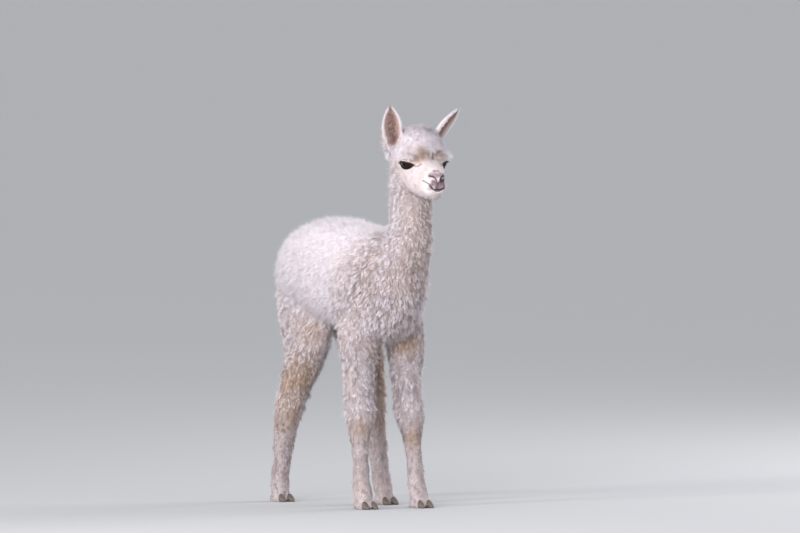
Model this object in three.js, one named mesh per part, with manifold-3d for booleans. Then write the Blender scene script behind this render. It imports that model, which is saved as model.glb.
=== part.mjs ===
// A young huacaya alpaca, a cria about three weeks old, as a still, life-size model. It stands with its
// neck upright and its head up, the left hind foot stepped forward under the belly and the right one
// stretched back. Nothing moves: each node is one closed solid, and neighbours meet along thin seams.
//
// Millimetres. +X runs to the nose, +Y to the animal's left, +Z up. The soles stand on Z = 0.
// The fleece is modelled as rounded clumps laid close together on a core that reaches half way to
// their tips. The face, the ears, the shanks and the feet have short hair, and are left smooth.

import * as THREE from "three";
import { mergeVertices } from "three/addons/utils/BufferGeometryUtils.js";
import Module from "manifold-3d";

const wasm = await Module();
wasm.setup();

// ---------- driving dimensions ----------
const SEAM = 0.3; // gap between neighbouring nodes
const BACK_HEIGHT = 618; // floor to the top of the fleece over the loin
const BODY_REAR = -226; // the back of the rump, behind the middle of the trunk
const BODY_FRONT = 256; // the front of the chest
const BODY_HALF_WIDTH = 115; // at the widest ribs, fleece included
const FORE_LEG_SIDE = 58; // middle of the body to the middle of a forearm
const HIND_LEG_SIDE = 60;
const HEAD_CENTRE = new THREE.Vector3(274, 4, 765); // middle of the skull
const HEAD_YAW = THREE.MathUtils.degToRad(-7); // turned a little to its right
const EYE_RADIUS = 13.5;
const EYE_PLACE = new THREE.Vector3(24, 38, -20); // left eyeball, from the middle of the skull
const EYE_FORWARD = THREE.MathUtils.degToRad(31); // how far an eye looks forward of straight out
const EYE_SLANT = THREE.MathUtils.degToRad(8); // the inner corner is this much lower than the outer one
const FLEECE_DEPTH = { trunk: 20, neck: 15, leg: 15, tail: 12, poll: 12 }; // skin to tips
const SIDES = { right: -1, left: 1 };

const COLOURS = {
  fleece: 0xe9dfd6,
  face: 0xeee6df,
  ear: 0xe4cfc4,
  eye: 0x15110f,
  horn: 0x4a4038,
};

// ---------- solids ----------

// A closed solid of three.js geometry, with its faces turned outwards.
function solid(geometry) {
  const bare = geometry.clone();
  for (const name of Object.keys(bare.attributes)) {
    if (name !== "position") bare.deleteAttribute(name);
  }
  const merged = mergeVertices(bare, 1e-4);
  const triVerts = new Uint32Array(merged.index.array);
  const vertProperties = merged.attributes.position.array;
  const mesh = new wasm.Mesh({ numProp: 3, vertProperties, triVerts });
  const made = new wasm.Manifold(mesh);
  if (made.volume() > 0) return made;
  for (let i = 0; i < triVerts.length; i += 3) {
    [triVerts[i + 1], triVerts[i + 2]] = [triVerts[i + 2], triVerts[i + 1]];
  }
  return new wasm.Manifold(new wasm.Mesh({ numProp: 3, vertProperties, triVerts }));
}

// The solid through rings of points, each ring with the same number. Each end runs to a point,
// the middle of the end ring where none is given.
function ringSolid(rings, startPoint, endPoint) {
  const sides = rings[0].length;
  const middleOf = (ring) => ring.reduce((sum, p) => sum.add(p), new THREE.Vector3()).divideScalar(sides);
  const start = startPoint ?? middleOf(rings[0]);
  const end = endPoint ?? middleOf(rings.at(-1));
  const points = [...rings.flat(), start, end];
  const first = rings.length * sides;
  const last = first - sides;
  const faces = [];
  for (let i = 0; i < sides; i++) {
    const j = (i + 1) % sides;
    for (let r = 0; r < last; r += sides) {
      faces.push(r + i, r + j, r + sides + i, r + j, r + sides + j, r + sides + i);
    }
    faces.push(first, j, i, first + 1, last + i, last + j);
  }
  const geometry = new THREE.BufferGeometry().setFromPoints(points);
  geometry.setIndex(faces);
  return solid(geometry);
}

const union = (solids) => wasm.Manifold.union(solids);

// The half of a solid on the side of a plane that its normal points to.
function above(piece, point, normal) {
  return piece.trimByPlane(normal.toArray(), normal.dot(point));
}

function below(piece, point, normal) {
  return above(piece, point, normal.clone().negate());
}

// Leaves only the largest closed surface, so a hollow that joining sealed is filled too.
function largest(piece) {
  return piece.decompose().reduce((best, next) => (next.volume() > best.volume() ? next : best));
}

function ellipsoid(centre, radii, wide = 14, high = 9) {
  const geometry = new THREE.SphereGeometry(1, wide, high);
  geometry.scale(...radii).translate(...centre);
  return solid(geometry);
}

// ---------- forms ----------

const LEAST = 0.5; // no ring gets narrower than this, half across
const HALVINGS = 20; // enough to close in on a place by halving a span

// A form is a smooth tube through key rings. A ring has a centre and four half-widths, two along
// each of its two axes, so its front and back or its top and bottom can differ.
class Form {
  constructor(keys, axisA, axisB, power = 2) {
    this.keys = keys;
    this.axisA = axisA;
    this.axisB = axisB;
    this.power = power;
    this.end = keys.length - 1;
    this.runs = axisA.x === 0 ? "x" : "z"; // the coordinate that grows or shrinks from end to end
  }

  // The ring at t, a place among the keys from 0 to their last index.
  ring(t) {
    const i = Math.min(Math.floor(t), this.end - 1);
    const [k0, k1, k2, k3] = [i - 1, i, i + 1, i + 2].map((k) => {
      return this.keys[THREE.MathUtils.clamp(k, 0, this.end)];
    });
    const u = t - i;
    return k1.map((v1, n) => {
      const slope1 = (k2[n] - k0[n]) / 2;
      const slope2 = (k3[n] - v1) / 2;
      const gap = v1 - k2[n];
      return v1 + u * (slope1 + u * (-3 * gap - 2 * slope1 - slope2 + u * (2 * gap + slope1 + slope2)));
    });
  }

  centre(t) {
    return new THREE.Vector3(...this.ring(t).slice(0, 3));
  }

  // The point of the surface at t and an angle, moved out by grow.
  point(t, angle, grow = 0) {
    const [aPlus, aMinus, bPlus, bMinus] = this.ring(t).slice(3);
    const share = (v) => Math.sign(v) * Math.abs(v) ** (2 / this.power);
    const a = share(Math.cos(angle));
    const b = share(Math.sin(angle));
    return this.centre(t)
      .addScaledVector(this.axisA, a * Math.max(LEAST, (a > 0 ? aPlus : aMinus) + grow))
      .addScaledVector(this.axisB, b * Math.max(LEAST, (b > 0 ? bPlus : bMinus) + grow));
  }

  normal(t, angle) {
    const step = 0.04;
    const ahead = this.point(Math.min(this.end, t + step), angle);
    const along = ahead.sub(this.point(Math.max(0, t - step), angle));
    const round = this.point(t, angle + step).sub(this.point(t, angle - step));
    const out = round.cross(along).normalize();
    return out.dot(this.point(t, angle).sub(this.centre(t))) < 0 ? out.negate() : out;
  }

  // Whether a point lies inside the form, grown.
  holds(point, grow = 0) {
    const rising = this.centre(this.end)[this.runs] > this.centre(0)[this.runs];
    let [low, high] = rising ? [0, this.end] : [this.end, 0];
    for (let i = 0; i < HALVINGS; i++) {
      const t = (low + high) / 2;
      if (this.centre(t)[this.runs] < point[this.runs]) low = t;
      else high = t;
    }
    const [aPlus, aMinus, bPlus, bMinus] = this.ring(low).slice(3);
    const from = point.clone().sub(this.centre(low));
    const share = (v, plus, minus) => {
      const half = Math.max(LEAST, (v > 0 ? plus : minus) + grow);
      return (Math.abs(v) / half) ** this.power;
    };
    const reach = share(from.dot(this.axisA), aPlus, aMinus) + share(from.dot(this.axisB), bPlus, bMinus);
    return reach < 1 && Math.abs(from[this.runs]) < 1;
  }

  // Angles that divide the ring at t into equal lengths, and start a share of one of them along.
  evenAngles(t, count, start) {
    const samples = 48;
    const ring = Array.from({ length: samples + 1 }, (_, i) => this.point(t, (2 * Math.PI * i) / samples));
    const arcs = [0];
    for (let i = 0; i < samples; i++) arcs.push(arcs[i] + ring[i].distanceTo(ring[i + 1]));
    return Array.from({ length: count }, (_, k) => {
      const arc = (arcs[samples] * (k + start)) / count;
      const i = arcs.findLastIndex((v) => v <= arc);
      return (2 * Math.PI * (i + (arc - arcs[i]) / (arcs[i + 1] - arcs[i]))) / samples;
    });
  }

  girth(t) {
    const [aPlus, aMinus, bPlus, bMinus] = this.ring(t).slice(3);
    return (Math.PI * (aPlus + aMinus + bPlus + bMinus)) / 2;
  }

  // The solid of the form. grow is a number, or a function of the place along the form and the angle.
  solid(perKey, sides, grow = 0) {
    const growAt = typeof grow === "function" ? grow : () => grow;
    const rings = Array.from({ length: this.end * perKey + 1 }, (_, i) =>
      Array.from({ length: sides }, (_, j) => {
        const angle = (2 * Math.PI * j) / sides;
        return this.point(i / perKey, angle, growAt(i / perKey, angle));
      }),
    );
    return ringSolid(rings);
  }
}

const AXIS = {
  x: new THREE.Vector3(1, 0, 0),
  y: new THREE.Vector3(0, 1, 0),
  z: new THREE.Vector3(0, 0, 1),
};

// A form that runs along X. Each key is [x, top, bottom, half-width], with heights from the floor.
function trunkForm(keys, power) {
  const rings = keys.map(([x, top, bottom, side]) => {
    const z = (top + bottom) / 2;
    return [x, 0, z, side, side, top - z, z - bottom];
  });
  return new Form(rings, AXIS.y, AXIS.z, power);
}

// A form that runs up and down. Each key is [z, x, y, to the front, to the back, half-width].
function limbForm(keys) {
  const rings = keys.map(([z, x, y, fore, aft, side]) => [x, y, z, fore, aft, side, side]);
  return new Form(rings, AXIS.x, AXIS.y);
}

// ---------- fleece ----------

// A repeatable random number from 0 to 1.
function seeded(seed) {
  let state = seed;
  return () => {
    state = (state * 1664525 + 1013904223) % 4294967296;
    return state / 4294967296;
  };
}

const CLUMP = {
  sides: 6,
  rings: [-0.42, 0.42], // places along the half-length
  tilt: 0.13, // how far the tip is lifted, as a slope
  vary: 0.15, // how far sizes vary, as a share
};

// A rounded clump of wool: it lies along the surface, with its root sunk in the core and its tip up.
function clump(root, normal, lie, length, width, height) {
  const along = lie.clone().addScaledVector(normal, CLUMP.tilt).normalize();
  const across = new THREE.Vector3().crossVectors(normal, along).normalize();
  const out = new THREE.Vector3().crossVectors(along, across);
  const place = (u, angle) => {
    const round = Math.sqrt(1 - u * u);
    return root
      .clone()
      .addScaledVector(along, (u * length) / 2)
      .addScaledVector(across, (Math.cos(angle) * round * width) / 2)
      .addScaledVector(out, Math.sin(angle) * round * height);
  };
  const rings = CLUMP.rings.map((u, k) =>
    Array.from({ length: CLUMP.sides }, (_, i) => place(u, (2 * Math.PI * (i + k / 2)) / CLUMP.sides)),
  );
  return ringSolid(rings, place(-1, 0), place(1, 0));
}

// Staggered rows of clumps over a form, from one place along it to another. wool gives the clumps'
// size and spacing, how deep they root, the way they lie, how small they get and where none grows.
function fleeceOn(form, wool) {
  const random = seeded(wool.seed);
  const varied = (size) => size * (1 + CLUMP.vary * (2 * random() - 1));
  const clumps = [];
  const walk = 0.02;
  let passed = wool.rowStep;
  let row = 0;
  for (let t = wool.from; t <= wool.to; t += walk) {
    passed += form.centre(t).distanceTo(form.centre(Math.max(0, t - walk)));
    if (passed < wool.rowStep) continue;
    passed = 0;
    row += 1;
    const scale = THREE.MathUtils.mapLinear(t, wool.from, wool.to, 1, wool.taper ?? 1);
    const count = Math.max(4, Math.round(form.girth(t) / (wool.across * scale)));
    for (const angle of form.evenAngles(t, count, row % 2 ? 0.25 : 0.75)) {
      const normal = form.normal(t, angle);
      const root = form.point(t, angle, -wool.core);
      const size = wool.size.map((v) => varied(v * scale));
      if (wool.bare?.(root, normal)) continue;
      const lie = wool.lie.clone().projectOnPlane(normal).normalize();
      clumps.push(clump(root.addScaledVector(normal, -wool.sunk), normal, lie, ...size));
    }
  }
  return clumps;
}

// ---------- trunk ----------

const trunk = trunkForm(
  [
    // x as a share of the way from rump to chest, top and bottom as shares of the back's height,
    // and half-width as a share of the widest
    [0, 0.82, 0.78, 0.03],
    [0.012, 0.85, 0.735, 0.25],
    [0.05, 0.888, 0.682, 0.46],
    [0.115, 0.934, 0.652, 0.66],
    [0.24, 0.98, 0.635, 0.89],
    [0.38, 1, 0.622, 0.985],
    [0.54, 0.986, 0.608, 0.995],
    [0.7, 0.972, 0.58, 0.925],
    [0.8, 0.968, 0.571, 0.79],
    [0.885, 0.95, 0.6, 0.6],
    [0.96, 0.9, 0.66, 0.34],
    [0.99, 0.85, 0.71, 0.15],
    [1, 0.8, 0.76, 0.03],
  ].map(([share, top, bottom, side]) => [
    THREE.MathUtils.lerp(BODY_REAR, BODY_FRONT, share),
    top * BACK_HEIGHT,
    bottom * BACK_HEIGHT,
    side * BODY_HALF_WIDTH,
  ]),
  2.25,
);

// ---------- neck ----------

const neck = limbForm([
  // z, x, y, to the front, to the back, half-width
  [425, 150, 0, 92, 70, 62],
  [470, 180, 0, 82, 78, 68],
  [512, 203, 0, 68, 74, 64],
  [552, 234, 0, 58, 66, 55],
  [592, 245, 0, 52, 58, 48.5],
  [640, 248, 1, 50, 53, 46.5],
  [690, 248, 2, 49, 53, 46.5],
  [728, 250, 3, 45, 56, 47],
  [762, 252, 4, 38, 54, 46],
]);

// ---------- legs ----------

const KNEE_CUT = { front: 186, hind: 188 }; // height of the cut through each knee or hock

// A leg's girth at each level: [z, to the front, to the back, half-width].
const FORE_GIRTH = [
  [470, 56, 50, 36],
  [410, 54, 50, 44],
  [355, 45, 45, 45],
  [300, 37, 38, 38],
  [240, 33, 34, 33],
  [198, 35, 32, 33.5],
  [168, 29, 27, 28],
  [140, 21.5, 23, 22.5],
  [92, 19.5, 21, 20.5],
  [56, 21, 23, 22],
  [34, 24, 20, 23.5],
  [14, 22, 14, 22],
];
const HIND_GIRTH = [
  [485, 70, 70, 30],
  [432, 88, 82, 44],
  [382, 86, 76, 45],
  [338, 69, 68, 40],
  [283, 49, 46, 39],
  [229, 38, 40, 33.5],
  [193, 33, 43, 30.5],
  [165, 29, 37, 27.5],
  [133, 26, 29, 25],
  [92, 22, 24, 22.5],
  [56, 22, 24, 22.5],
  [34, 24, 20, 23.5],
  [14, 22, 14, 22],
];

// Where each leg's middle runs, level by level: [x, y as a share of the leg's side].
const LEGS = {
  front_right: {
    side: -1,
    girth: FORE_GIRTH,
    spread: FORE_LEG_SIDE,
    path: [
      [118, 0.8],
      [124, 0.95],
      [131, 1],
      [132, 1],
      [133, 1],
      [137, 1],
      [137, 1],
      [138, 1],
      [141, 1],
      [143, 1],
      [147, 1],
      [152, 1],
    ],
  },
  front_left: {
    side: 1,
    girth: FORE_GIRTH,
    spread: FORE_LEG_SIDE,
    path: [
      [118, 0.8],
      [124, 0.95],
      [134, 1.02],
      [137, 1.03],
      [141, 1.04],
      [147, 1.07],
      [151, 1.09],
      [156, 1.11],
      [163, 1.13],
      [168, 1.15],
      [172, 1.16],
      [177, 1.17],
    ],
  },
  hind_right: {
    side: -1,
    girth: HIND_GIRTH,
    spread: HIND_LEG_SIDE,
    path: [
      [-118, 0.7],
      [-98, 0.83],
      [-80, 0.95],
      [-68, 1.02],
      [-90, 1.03],
      [-119, 1.08],
      [-130, 1.11],
      [-138, 1.12],
      [-147, 1.13],
      [-154, 1.14],
      [-161, 1.16],
      [-164, 1.17],
      [-160, 1.17],
    ],
  },
  hind_left: {
    side: 1,
    girth: HIND_GIRTH,
    spread: HIND_LEG_SIDE,
    path: [
      [-118, 0.7],
      [-94, 0.83],
      [-66, 0.95],
      [-42, 1],
      [-22, 1],
      [-6, 1],
      [2, 1],
      [8, 1],
      [17, 1.02],
      [28, 1.03],
      [35, 1.04],
      [40, 1.05],
      [46, 1.05],
    ],
  },
};

const FOOT = {
  ankle: 46, // height of the cut between shank and foot
  toeSpread: 11, // middle of the foot to the middle of a toe
  toeHalfWidth: 10.2,
  toeLength: 37, // from the foot's middle to the tip of the nail
  nailLength: 12,
};

function legForm(leg) {
  const keys = leg.girth.map(([z, fore, aft, side], i) => {
    const [x, share] = leg.path[i];
    return [z, x, leg.side * leg.spread * share, fore, aft, side];
  });
  return limbForm(keys);
}

// Where the foot stands: the middle of the leg's lowest ring.
function footPlace(leg) {
  const [x, share] = leg.path.at(-1);
  return new THREE.Vector3(x, leg.side * leg.spread * share, 0);
}

// One toe with its nail, before the two are parted. It runs forward from under the leg.
function toeForm(foot, toeSide) {
  const y = foot.y + toeSide * FOOT.toeSpread;
  const keys = [
    // x, height above the floor, depth below it, half-width share
    [-20, 16, 3, 0.6],
    [-6, 26, 4, 1],
    [10, 22, 4, 1],
    [23, 15, 4, 0.85],
    [32, 9, 4, 0.5],
    [FOOT.toeLength, 3.5, 2, 0.16],
  ].map(([x, up, down, share]) => {
    const half = share * FOOT.toeHalfWidth;
    return [foot.x + x, y, 4, half, half, up - 4, down + 4];
  });
  return new Form(keys, AXIS.y, AXIS.z);
}

// ---------- tail ----------

const tail = limbForm([
  // z, x, y, to the front, to the back, half-width
  [524, -206, 0, 14, 8, 12],
  [512, -214, 0, 20, 14, 18],
  [484, -226, 0, 22, 16, 21],
  [450, -233, 0, 22, 16, 21],
  [418, -235, 0, 18, 14, 17],
  [398, -234, 0, 11, 9, 10],
  [390, -233, 0, 4, 3, 4],
]);
const TAIL_FACE = -221; // the flat along which tail and rump meet
const TAIL_BED = { halfWidth: 32, low: 376, high: 536 }; // the part of the rump that it lies against

// ---------- wool ----------

const LEG_WOOL_END = 205; // height at which a leg's long wool ends, just above the knee
const INNER_SIDE = -0.5; // a leg's normals that turn further inwards than this are on its inner side

const woolOn = {
  trunk: {
    seed: 11,
    from: 0.8,
    to: 11.4,
    size: [84, 68, 15.5], // length, width and height of a clump
    rowStep: 64,
    across: 65,
    core: FLEECE_DEPTH.trunk / 2,
    sunk: 3.5,
    lie: new THREE.Vector3(-1, 0, -0.7),
    bare: (root) => [neck, ...Object.values(LEGS).map(legForm)].some((form) => form.holds(root, -16)),
  },
  neck: {
    seed: 23,
    from: 0.6,
    to: 7.9,
    size: [62, 52, 12.5],
    rowStep: 47,
    across: 51,
    core: FLEECE_DEPTH.neck / 2,
    sunk: 3,
    lie: new THREE.Vector3(-0.2, 0, -1),
    bare: (root) => trunk.holds(root, -12),
  },
  tail: {
    seed: 37,
    from: 1,
    to: 5.2,
    size: [46, 34, 9],
    rowStep: 36,
    across: 34,
    core: FLEECE_DEPTH.tail / 2,
    sunk: 2,
    lie: new THREE.Vector3(-0.1, 0, -1),
    bare: (root, normal) => normal.x > 0.3,
  },
  poll: {
    seed: 41,
    from: 1.2,
    to: 3,
    size: [46, 42, 10],
    rowStep: 30,
    across: 42,
    core: FLEECE_DEPTH.poll / 2,
    sunk: 2,
    lie: new THREE.Vector3(-1, 0, -0.4),
    bare: (root) => !hasPollWool(root),
  },
};

// The wool of a thigh or forearm gets shorter towards the knee. It is too short for clumps below that,
// and on the leg's inner side.
function legWool(leg) {
  return {
    seed: 53 + leg.path[0][0] + leg.side,
    from: 0.5,
    to: leg.girth.findIndex(([z]) => z < LEG_WOOL_END) - 0.5,
    size: [70, 58, 12.5],
    taper: 0.6,
    rowStep: 50,
    across: 60,
    core: FLEECE_DEPTH.leg / 2,
    sunk: 3,
    lie: new THREE.Vector3(-0.2, 0, -1),
    bare: (root, normal) => trunk.holds(root, 2) || normal.y * leg.side < INNER_SIDE,
  };
}

// ---------- head ----------

// Head measures run from the middle of the skull, along the head's own axes.
const headForm = new Form(
  [
    // x, top, bottom, half-width
    [-60, 22, -20, 14],
    [-53, 38, -46, 37],
    [-33, 54, -70, 51],
    [-7, 60, -83, 54.5],
    [16, 58, -90, 51],
    [32, 44, -93, 44.5],
    [45, 19, -96, 36],
    [56, -8, -97, 30],
    [68, -23, -96, 25.5],
    [79, -31, -92, 22],
    [87, -39, -82, 17],
    [91, -48, -68, 8],
  ].map(([x, top, bottom, side]) => {
    const z = (top + bottom) / 2;
    return [x, 0, z, side, side, top - z, z - bottom];
  }),
  AXIS.y,
  AXIS.z,
  2.3,
);

const headPlacement = new THREE.Matrix4()
  .makeTranslation(HEAD_CENTRE)
  .multiply(new THREE.Matrix4().makeRotationZ(HEAD_YAW));

// Moves a solid from the head's own axes to the body's.
const placedOnHead = (piece) => piece.transform(headPlacement.elements);

// The point of the face that lies straight behind a place in front of it, sunk by a depth.
function onFace(y, z, sink = 0) {
  let [inside, outside] = [20, 120]; // from inside the skull to ahead of the nose
  for (let i = 0; i < HALVINGS; i++) {
    const x = (inside + outside) / 2;
    if (headForm.holds(new THREE.Vector3(x, y, z))) inside = x;
    else outside = x;
  }
  return new THREE.Vector3(inside - sink, y, z);
}

// A round rod along points, to be cut out of the face or added to it.
function rod(points, radius, sides = 4) {
  const curve = new THREE.CatmullRomCurve3(points);
  const steps = points.length - 1;
  const { normals, binormals } = curve.computeFrenetFrames(steps);
  const rings = Array.from({ length: steps + 1 }, (_, k) =>
    Array.from({ length: sides }, (_, i) => {
      const angle = (2 * Math.PI * i) / sides;
      return curve
        .getPointAt(k / steps)
        .addScaledVector(normals[k], Math.cos(angle) * radius)
        .addScaledVector(binormals[k], Math.sin(angle) * radius);
    }),
  );
  return ringSolid(rings);
}

const both = (make) => Object.values(SIDES).map(make);

// ---------- eyes ----------

// An eye's own axes: x along its opening towards the nose, y up, z the way it looks.
function eyeFrame(side) {
  const look = new THREE.Vector3(Math.sin(EYE_FORWARD), side * Math.cos(EYE_FORWARD), 0);
  const level = new THREE.Vector3(Math.cos(EYE_FORWARD), -side * Math.sin(EYE_FORWARD), 0);
  const along = level.multiplyScalar(Math.cos(EYE_SLANT)).addScaledVector(AXIS.z, -Math.sin(EYE_SLANT));
  const up = new THREE.Vector3().crossVectors(look, along).multiplyScalar(side > 0 ? -1 : 1);
  const place = new THREE.Vector3(EYE_PLACE.x, side * EYE_PLACE.y, EYE_PLACE.z);
  return { look, along, up: up.z < 0 ? up.negate() : up, place };
}

const EYE_RINGS = [100, 78, 56, 34, 14]; // degrees away from the way the eye looks
const EYE_SIDES = 12;

// The front of the eyeball, closed by a flat a little behind its middle.
function eyeBall(side, grow = 0) {
  const { look, along, up, place } = eyeFrame(side);
  const radius = EYE_RADIUS + grow;
  const rings = EYE_RINGS.map((degrees, k) => {
    const polar = THREE.MathUtils.degToRad(degrees);
    return Array.from({ length: EYE_SIDES }, (_, i) => {
      const angle = (2 * Math.PI * i) / EYE_SIDES;
      return place
        .clone()
        .addScaledVector(look, Math.cos(polar) * radius - (k === 0 ? grow : 0))
        .addScaledVector(along, Math.cos(angle) * Math.sin(polar) * radius)
        .addScaledVector(up, Math.sin(angle) * Math.sin(polar) * radius);
    });
  });
  return ringSolid(rings, undefined, place.clone().addScaledVector(look, radius));
}

const LID = {
  thickness: 2.6,
  halfOpening: 17, // corner to corner
  above: 4.5, // the edge of the upper lid over the middle of the eye
  below: 11.5,
  cornerDepth: 3.5, // how far from the middle of the eyeball, outwards, the corners are cut
};

// What the lids leave open: an almond, cut outwards from inside the eye.
function lidOpening(side) {
  const { look, along, up, place } = eyeFrame(side);
  const almond = new THREE.Shape();
  almond.moveTo(-LID.halfOpening, 1);
  almond.bezierCurveTo(-8, LID.above * 1.25, 9, LID.above * 1.25, LID.halfOpening, 0);
  almond.bezierCurveTo(9, -LID.below * 1.2, -10, -LID.below * 1.4, -LID.halfOpening, 1);
  const geometry = new THREE.ExtrudeGeometry(almond, { depth: 30, bevelEnabled: false, curveSegments: 4 });
  geometry.translate(0, 0, LID.cornerDepth);
  geometry.applyMatrix4(new THREE.Matrix4().makeBasis(along, up, look).setPosition(place));
  return solid(geometry);
}

const BROW = { above: 11, inwards: 2.5, radii: [26, 15, 12] }; // from the middle of the eyeball

// The brow over each eye and the swell of the lids round it.
function orbit(side) {
  const { place, look, up } = eyeFrame(side);
  const brow = place.clone().addScaledVector(up, BROW.above).addScaledVector(look, -BROW.inwards);
  return [
    ellipsoid(place.toArray(), Array(3).fill(EYE_RADIUS + LID.thickness), 10, 7),
    ellipsoid(brow.toArray(), BROW.radii, 10, 6),
  ];
}

// ---------- muzzle ----------

const MOUTH = {
  // out from the middle and up from the middle of the skull, corner to front
  line: [
    [22, -57],
    [20, -63],
    [15, -71],
    [8, -77],
    [0, -79],
  ],
  radius: 1.7,
};
const NOSTRIL = {
  line: [
    [16, -45],
    [12.5, -47],
    [8, -51],
    [4.5, -57],
  ],
  radius: 2.1,
  sunk: 1,
};
const PHILTRUM = { line: [-58, -65, -72, -78], radius: 1 };

const LIPS = {
  upper: { out: 8.5, height: -67, sunk: 4.5, radii: [6.5, 9, 9.5] }, // one on each side of the middle
  lower: { out: 0, height: -86, sunk: 6, radii: [8, 13, 6] },
};

function lips() {
  const lip = ({ out, height, sunk, radii }, side) => {
    return ellipsoid(onFace(side * out, height, sunk).toArray(), radii, 8, 6);
  };
  return [...both((side) => lip(LIPS.upper, side)), lip(LIPS.lower, 1)];
}

function muzzleCuts() {
  const mouth = [...MOUTH.line, ...MOUTH.line.slice(0, -1).reverse().map(([y, z]) => [-y, z])];
  return [
    rod(mouth.map(([y, z]) => onFace(y, z)), MOUTH.radius),
    rod(PHILTRUM.line.map((z) => onFace(0, z)), PHILTRUM.radius),
    ...both((side) => rod(NOSTRIL.line.map(([y, z]) => onFace(side * y, z, NOSTRIL.sunk)), NOSTRIL.radius)),
  ];
}

// ---------- ears ----------

const EAR = {
  halfWidth: 23,
  wall: 3.2,
  steps: 5, // from rim to rim, round the cup
  stations: [
    // share of the length, half-width share, depth of the cup in half-widths
    [0, 0.5, 0.8],
    [0.14, 0.72, 0.8],
    [0.3, 0.92, 0.68],
    [0.5, 1, 0.56],
    [0.68, 0.88, 0.5],
    [0.83, 0.6, 0.45],
    [0.94, 0.3, 0.4],
    [1, 0.08, 0.4],
  ],
};

// How each ear stands: its tip from its root, and the way its cup faces, on the head's axes.
const EAR_POSES = {
  right: { root: [-21, -41, 14], tip: [-22, -58, 101], facing: [0.9, -0.42, 0] },
  left: { root: [-18, 42, 18], tip: [6, 91, 95], facing: [0.62, 0.7, -0.35] },
};

// An ear is a cupped leaf: the outer face is a half ring and the inner one follows it a wall inside.
// Its socket in the head is the outer face grown by a seam and closed across the front.
function earSolid(pose, socket = false) {
  const grow = socket ? SEAM : 0;
  const root = new THREE.Vector3(...pose.root);
  const along = new THREE.Vector3(...pose.tip).sub(root);
  const length = along.length();
  along.normalize();
  root.addScaledVector(along, -3 * grow);
  const front = new THREE.Vector3(...pose.facing);
  front.addScaledVector(along, -front.dot(along)).normalize();
  const across = new THREE.Vector3().crossVectors(along, front);
  const rings = EAR.stations.map(([share, wide, cup]) => {
    const w = EAR.halfWidth * wide;
    const wall = Math.min(EAR.wall, w * 0.5);
    const depth = w * cup;
    const centre = root.clone().addScaledVector(along, share * length);
    const arc = (radius, sag, lift, reverse) =>
      Array.from({ length: EAR.steps + 1 }, (_, i) => {
        const angle = (Math.PI * (reverse ? EAR.steps - i : i)) / EAR.steps;
        return centre
          .clone()
          .addScaledVector(across, Math.cos(angle) * radius)
          .addScaledVector(front, lift - Math.sin(angle) * sag);
      });
    const outer = arc(w + 4 * grow, depth + 4 * grow, 2 * grow, false);
    const inner = socket
      ? arc(w, -1, 1 + 3 * grow, true)
      : arc(w - wall, Math.max(0.4, depth - wall), 0.8, true);
    return [...outer, ...inner];
  });
  return ringSolid(rings);
}

// Long wool reaches up the poll to the ears, and leaves the ears' roots free.
function hasPollWool(point) {
  const nearEar = Object.values(EAR_POSES).some(({ root }) => {
    return point.distanceTo(new THREE.Vector3(...root)) < EAR.halfWidth;
  });
  return !nearEar && point.x < -14;
}

// The face's swells are joined to the head and its openings are cut out of it.
function makeHead(plain) {
  const swells = [...both(orbit).flat(), ...lips()];
  const cuts = [
    ...both((side) => eyeBall(side, SEAM)),
    ...both(lidOpening),
    ...muzzleCuts(),
    ...Object.values(EAR_POSES).map((pose) => earSolid(pose, true)),
  ];
  return union([plain, ...swells.map(placedOnHead)]).subtract(union(cuts.map(placedOnHead)));
}

// ---------- parting ----------

const planes = {
  // from the poll down to the throat
  throat: { point: new THREE.Vector3(250, 0, 703), normal: new THREE.Vector3(0.53, 0, 0.85).normalize() },
  // from the withers down to the front of the chest
  withers: { point: new THREE.Vector3(215, 0, 540), normal: new THREE.Vector3(0.77, 0, 0.64).normalize() },
};

// The roof over each leg, where it is parted from the trunk: it rises outwards and, behind, rearwards.
const ROOFS = {
  front: { x: 131, height: 358, outward: 0.42, rearward: 0, from: 46, to: 320 },
  hind: { x: -90, height: 390, outward: 0.42, rearward: 0.14, from: -320, to: 46 },
};
const ROOF_SIDE = 58; // how far out the roof has its named height
const CLEAR = 220; // farther out than any of the body, and further down than the floor

function roofHeight(roof, side, x, y) {
  return roof.height + roof.outward * (y * side - ROOF_SIDE) - roof.rearward * (x - roof.x);
}

// All the space under a roof, on one side of the body.
function roofBlock(roof, side) {
  const corners = [
    [roof.from, 0],
    [roof.to, 0],
    [roof.to, side * CLEAR],
    [roof.from, side * CLEAR],
  ];
  const low = corners.map(([x, y]) => new THREE.Vector3(x, y, -CLEAR));
  const high = corners.map(([x, y]) => new THREE.Vector3(x, y, roofHeight(roof, side, x, y)));
  return ringSolid([low, high]);
}

function roofPlane(roof, side) {
  const point = new THREE.Vector3(roof.x, side * ROOF_SIDE, roof.height - SEAM * 1.2);
  const normal = new THREE.Vector3(roof.rearward, -side * roof.outward, 1).normalize();
  return { point, normal };
}

// ---------- assembly ----------

const alpaca = new THREE.Group();
const materials = Object.fromEntries(
  Object.entries(COLOURS).map(([name, color]) => [
    name,
    new THREE.MeshStandardMaterial({ name, color, roughness: name === "eye" ? 0.1 : 0.85, metalness: 0 }),
  ]),
);

function addNode(name, piece, material) {
  const { vertProperties, triVerts } = largest(piece).getMesh();
  const geometry = new THREE.BufferGeometry();
  geometry.setAttribute("position", new THREE.BufferAttribute(new Float32Array(vertProperties), 3));
  geometry.setIndex(new THREE.BufferAttribute(new Uint32Array(triVerts), 1));
  geometry.computeVertexNormals();
  const mesh = new THREE.Mesh(geometry, materials[material]);
  mesh.name = name;
  alpaca.add(mesh);
}

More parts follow.
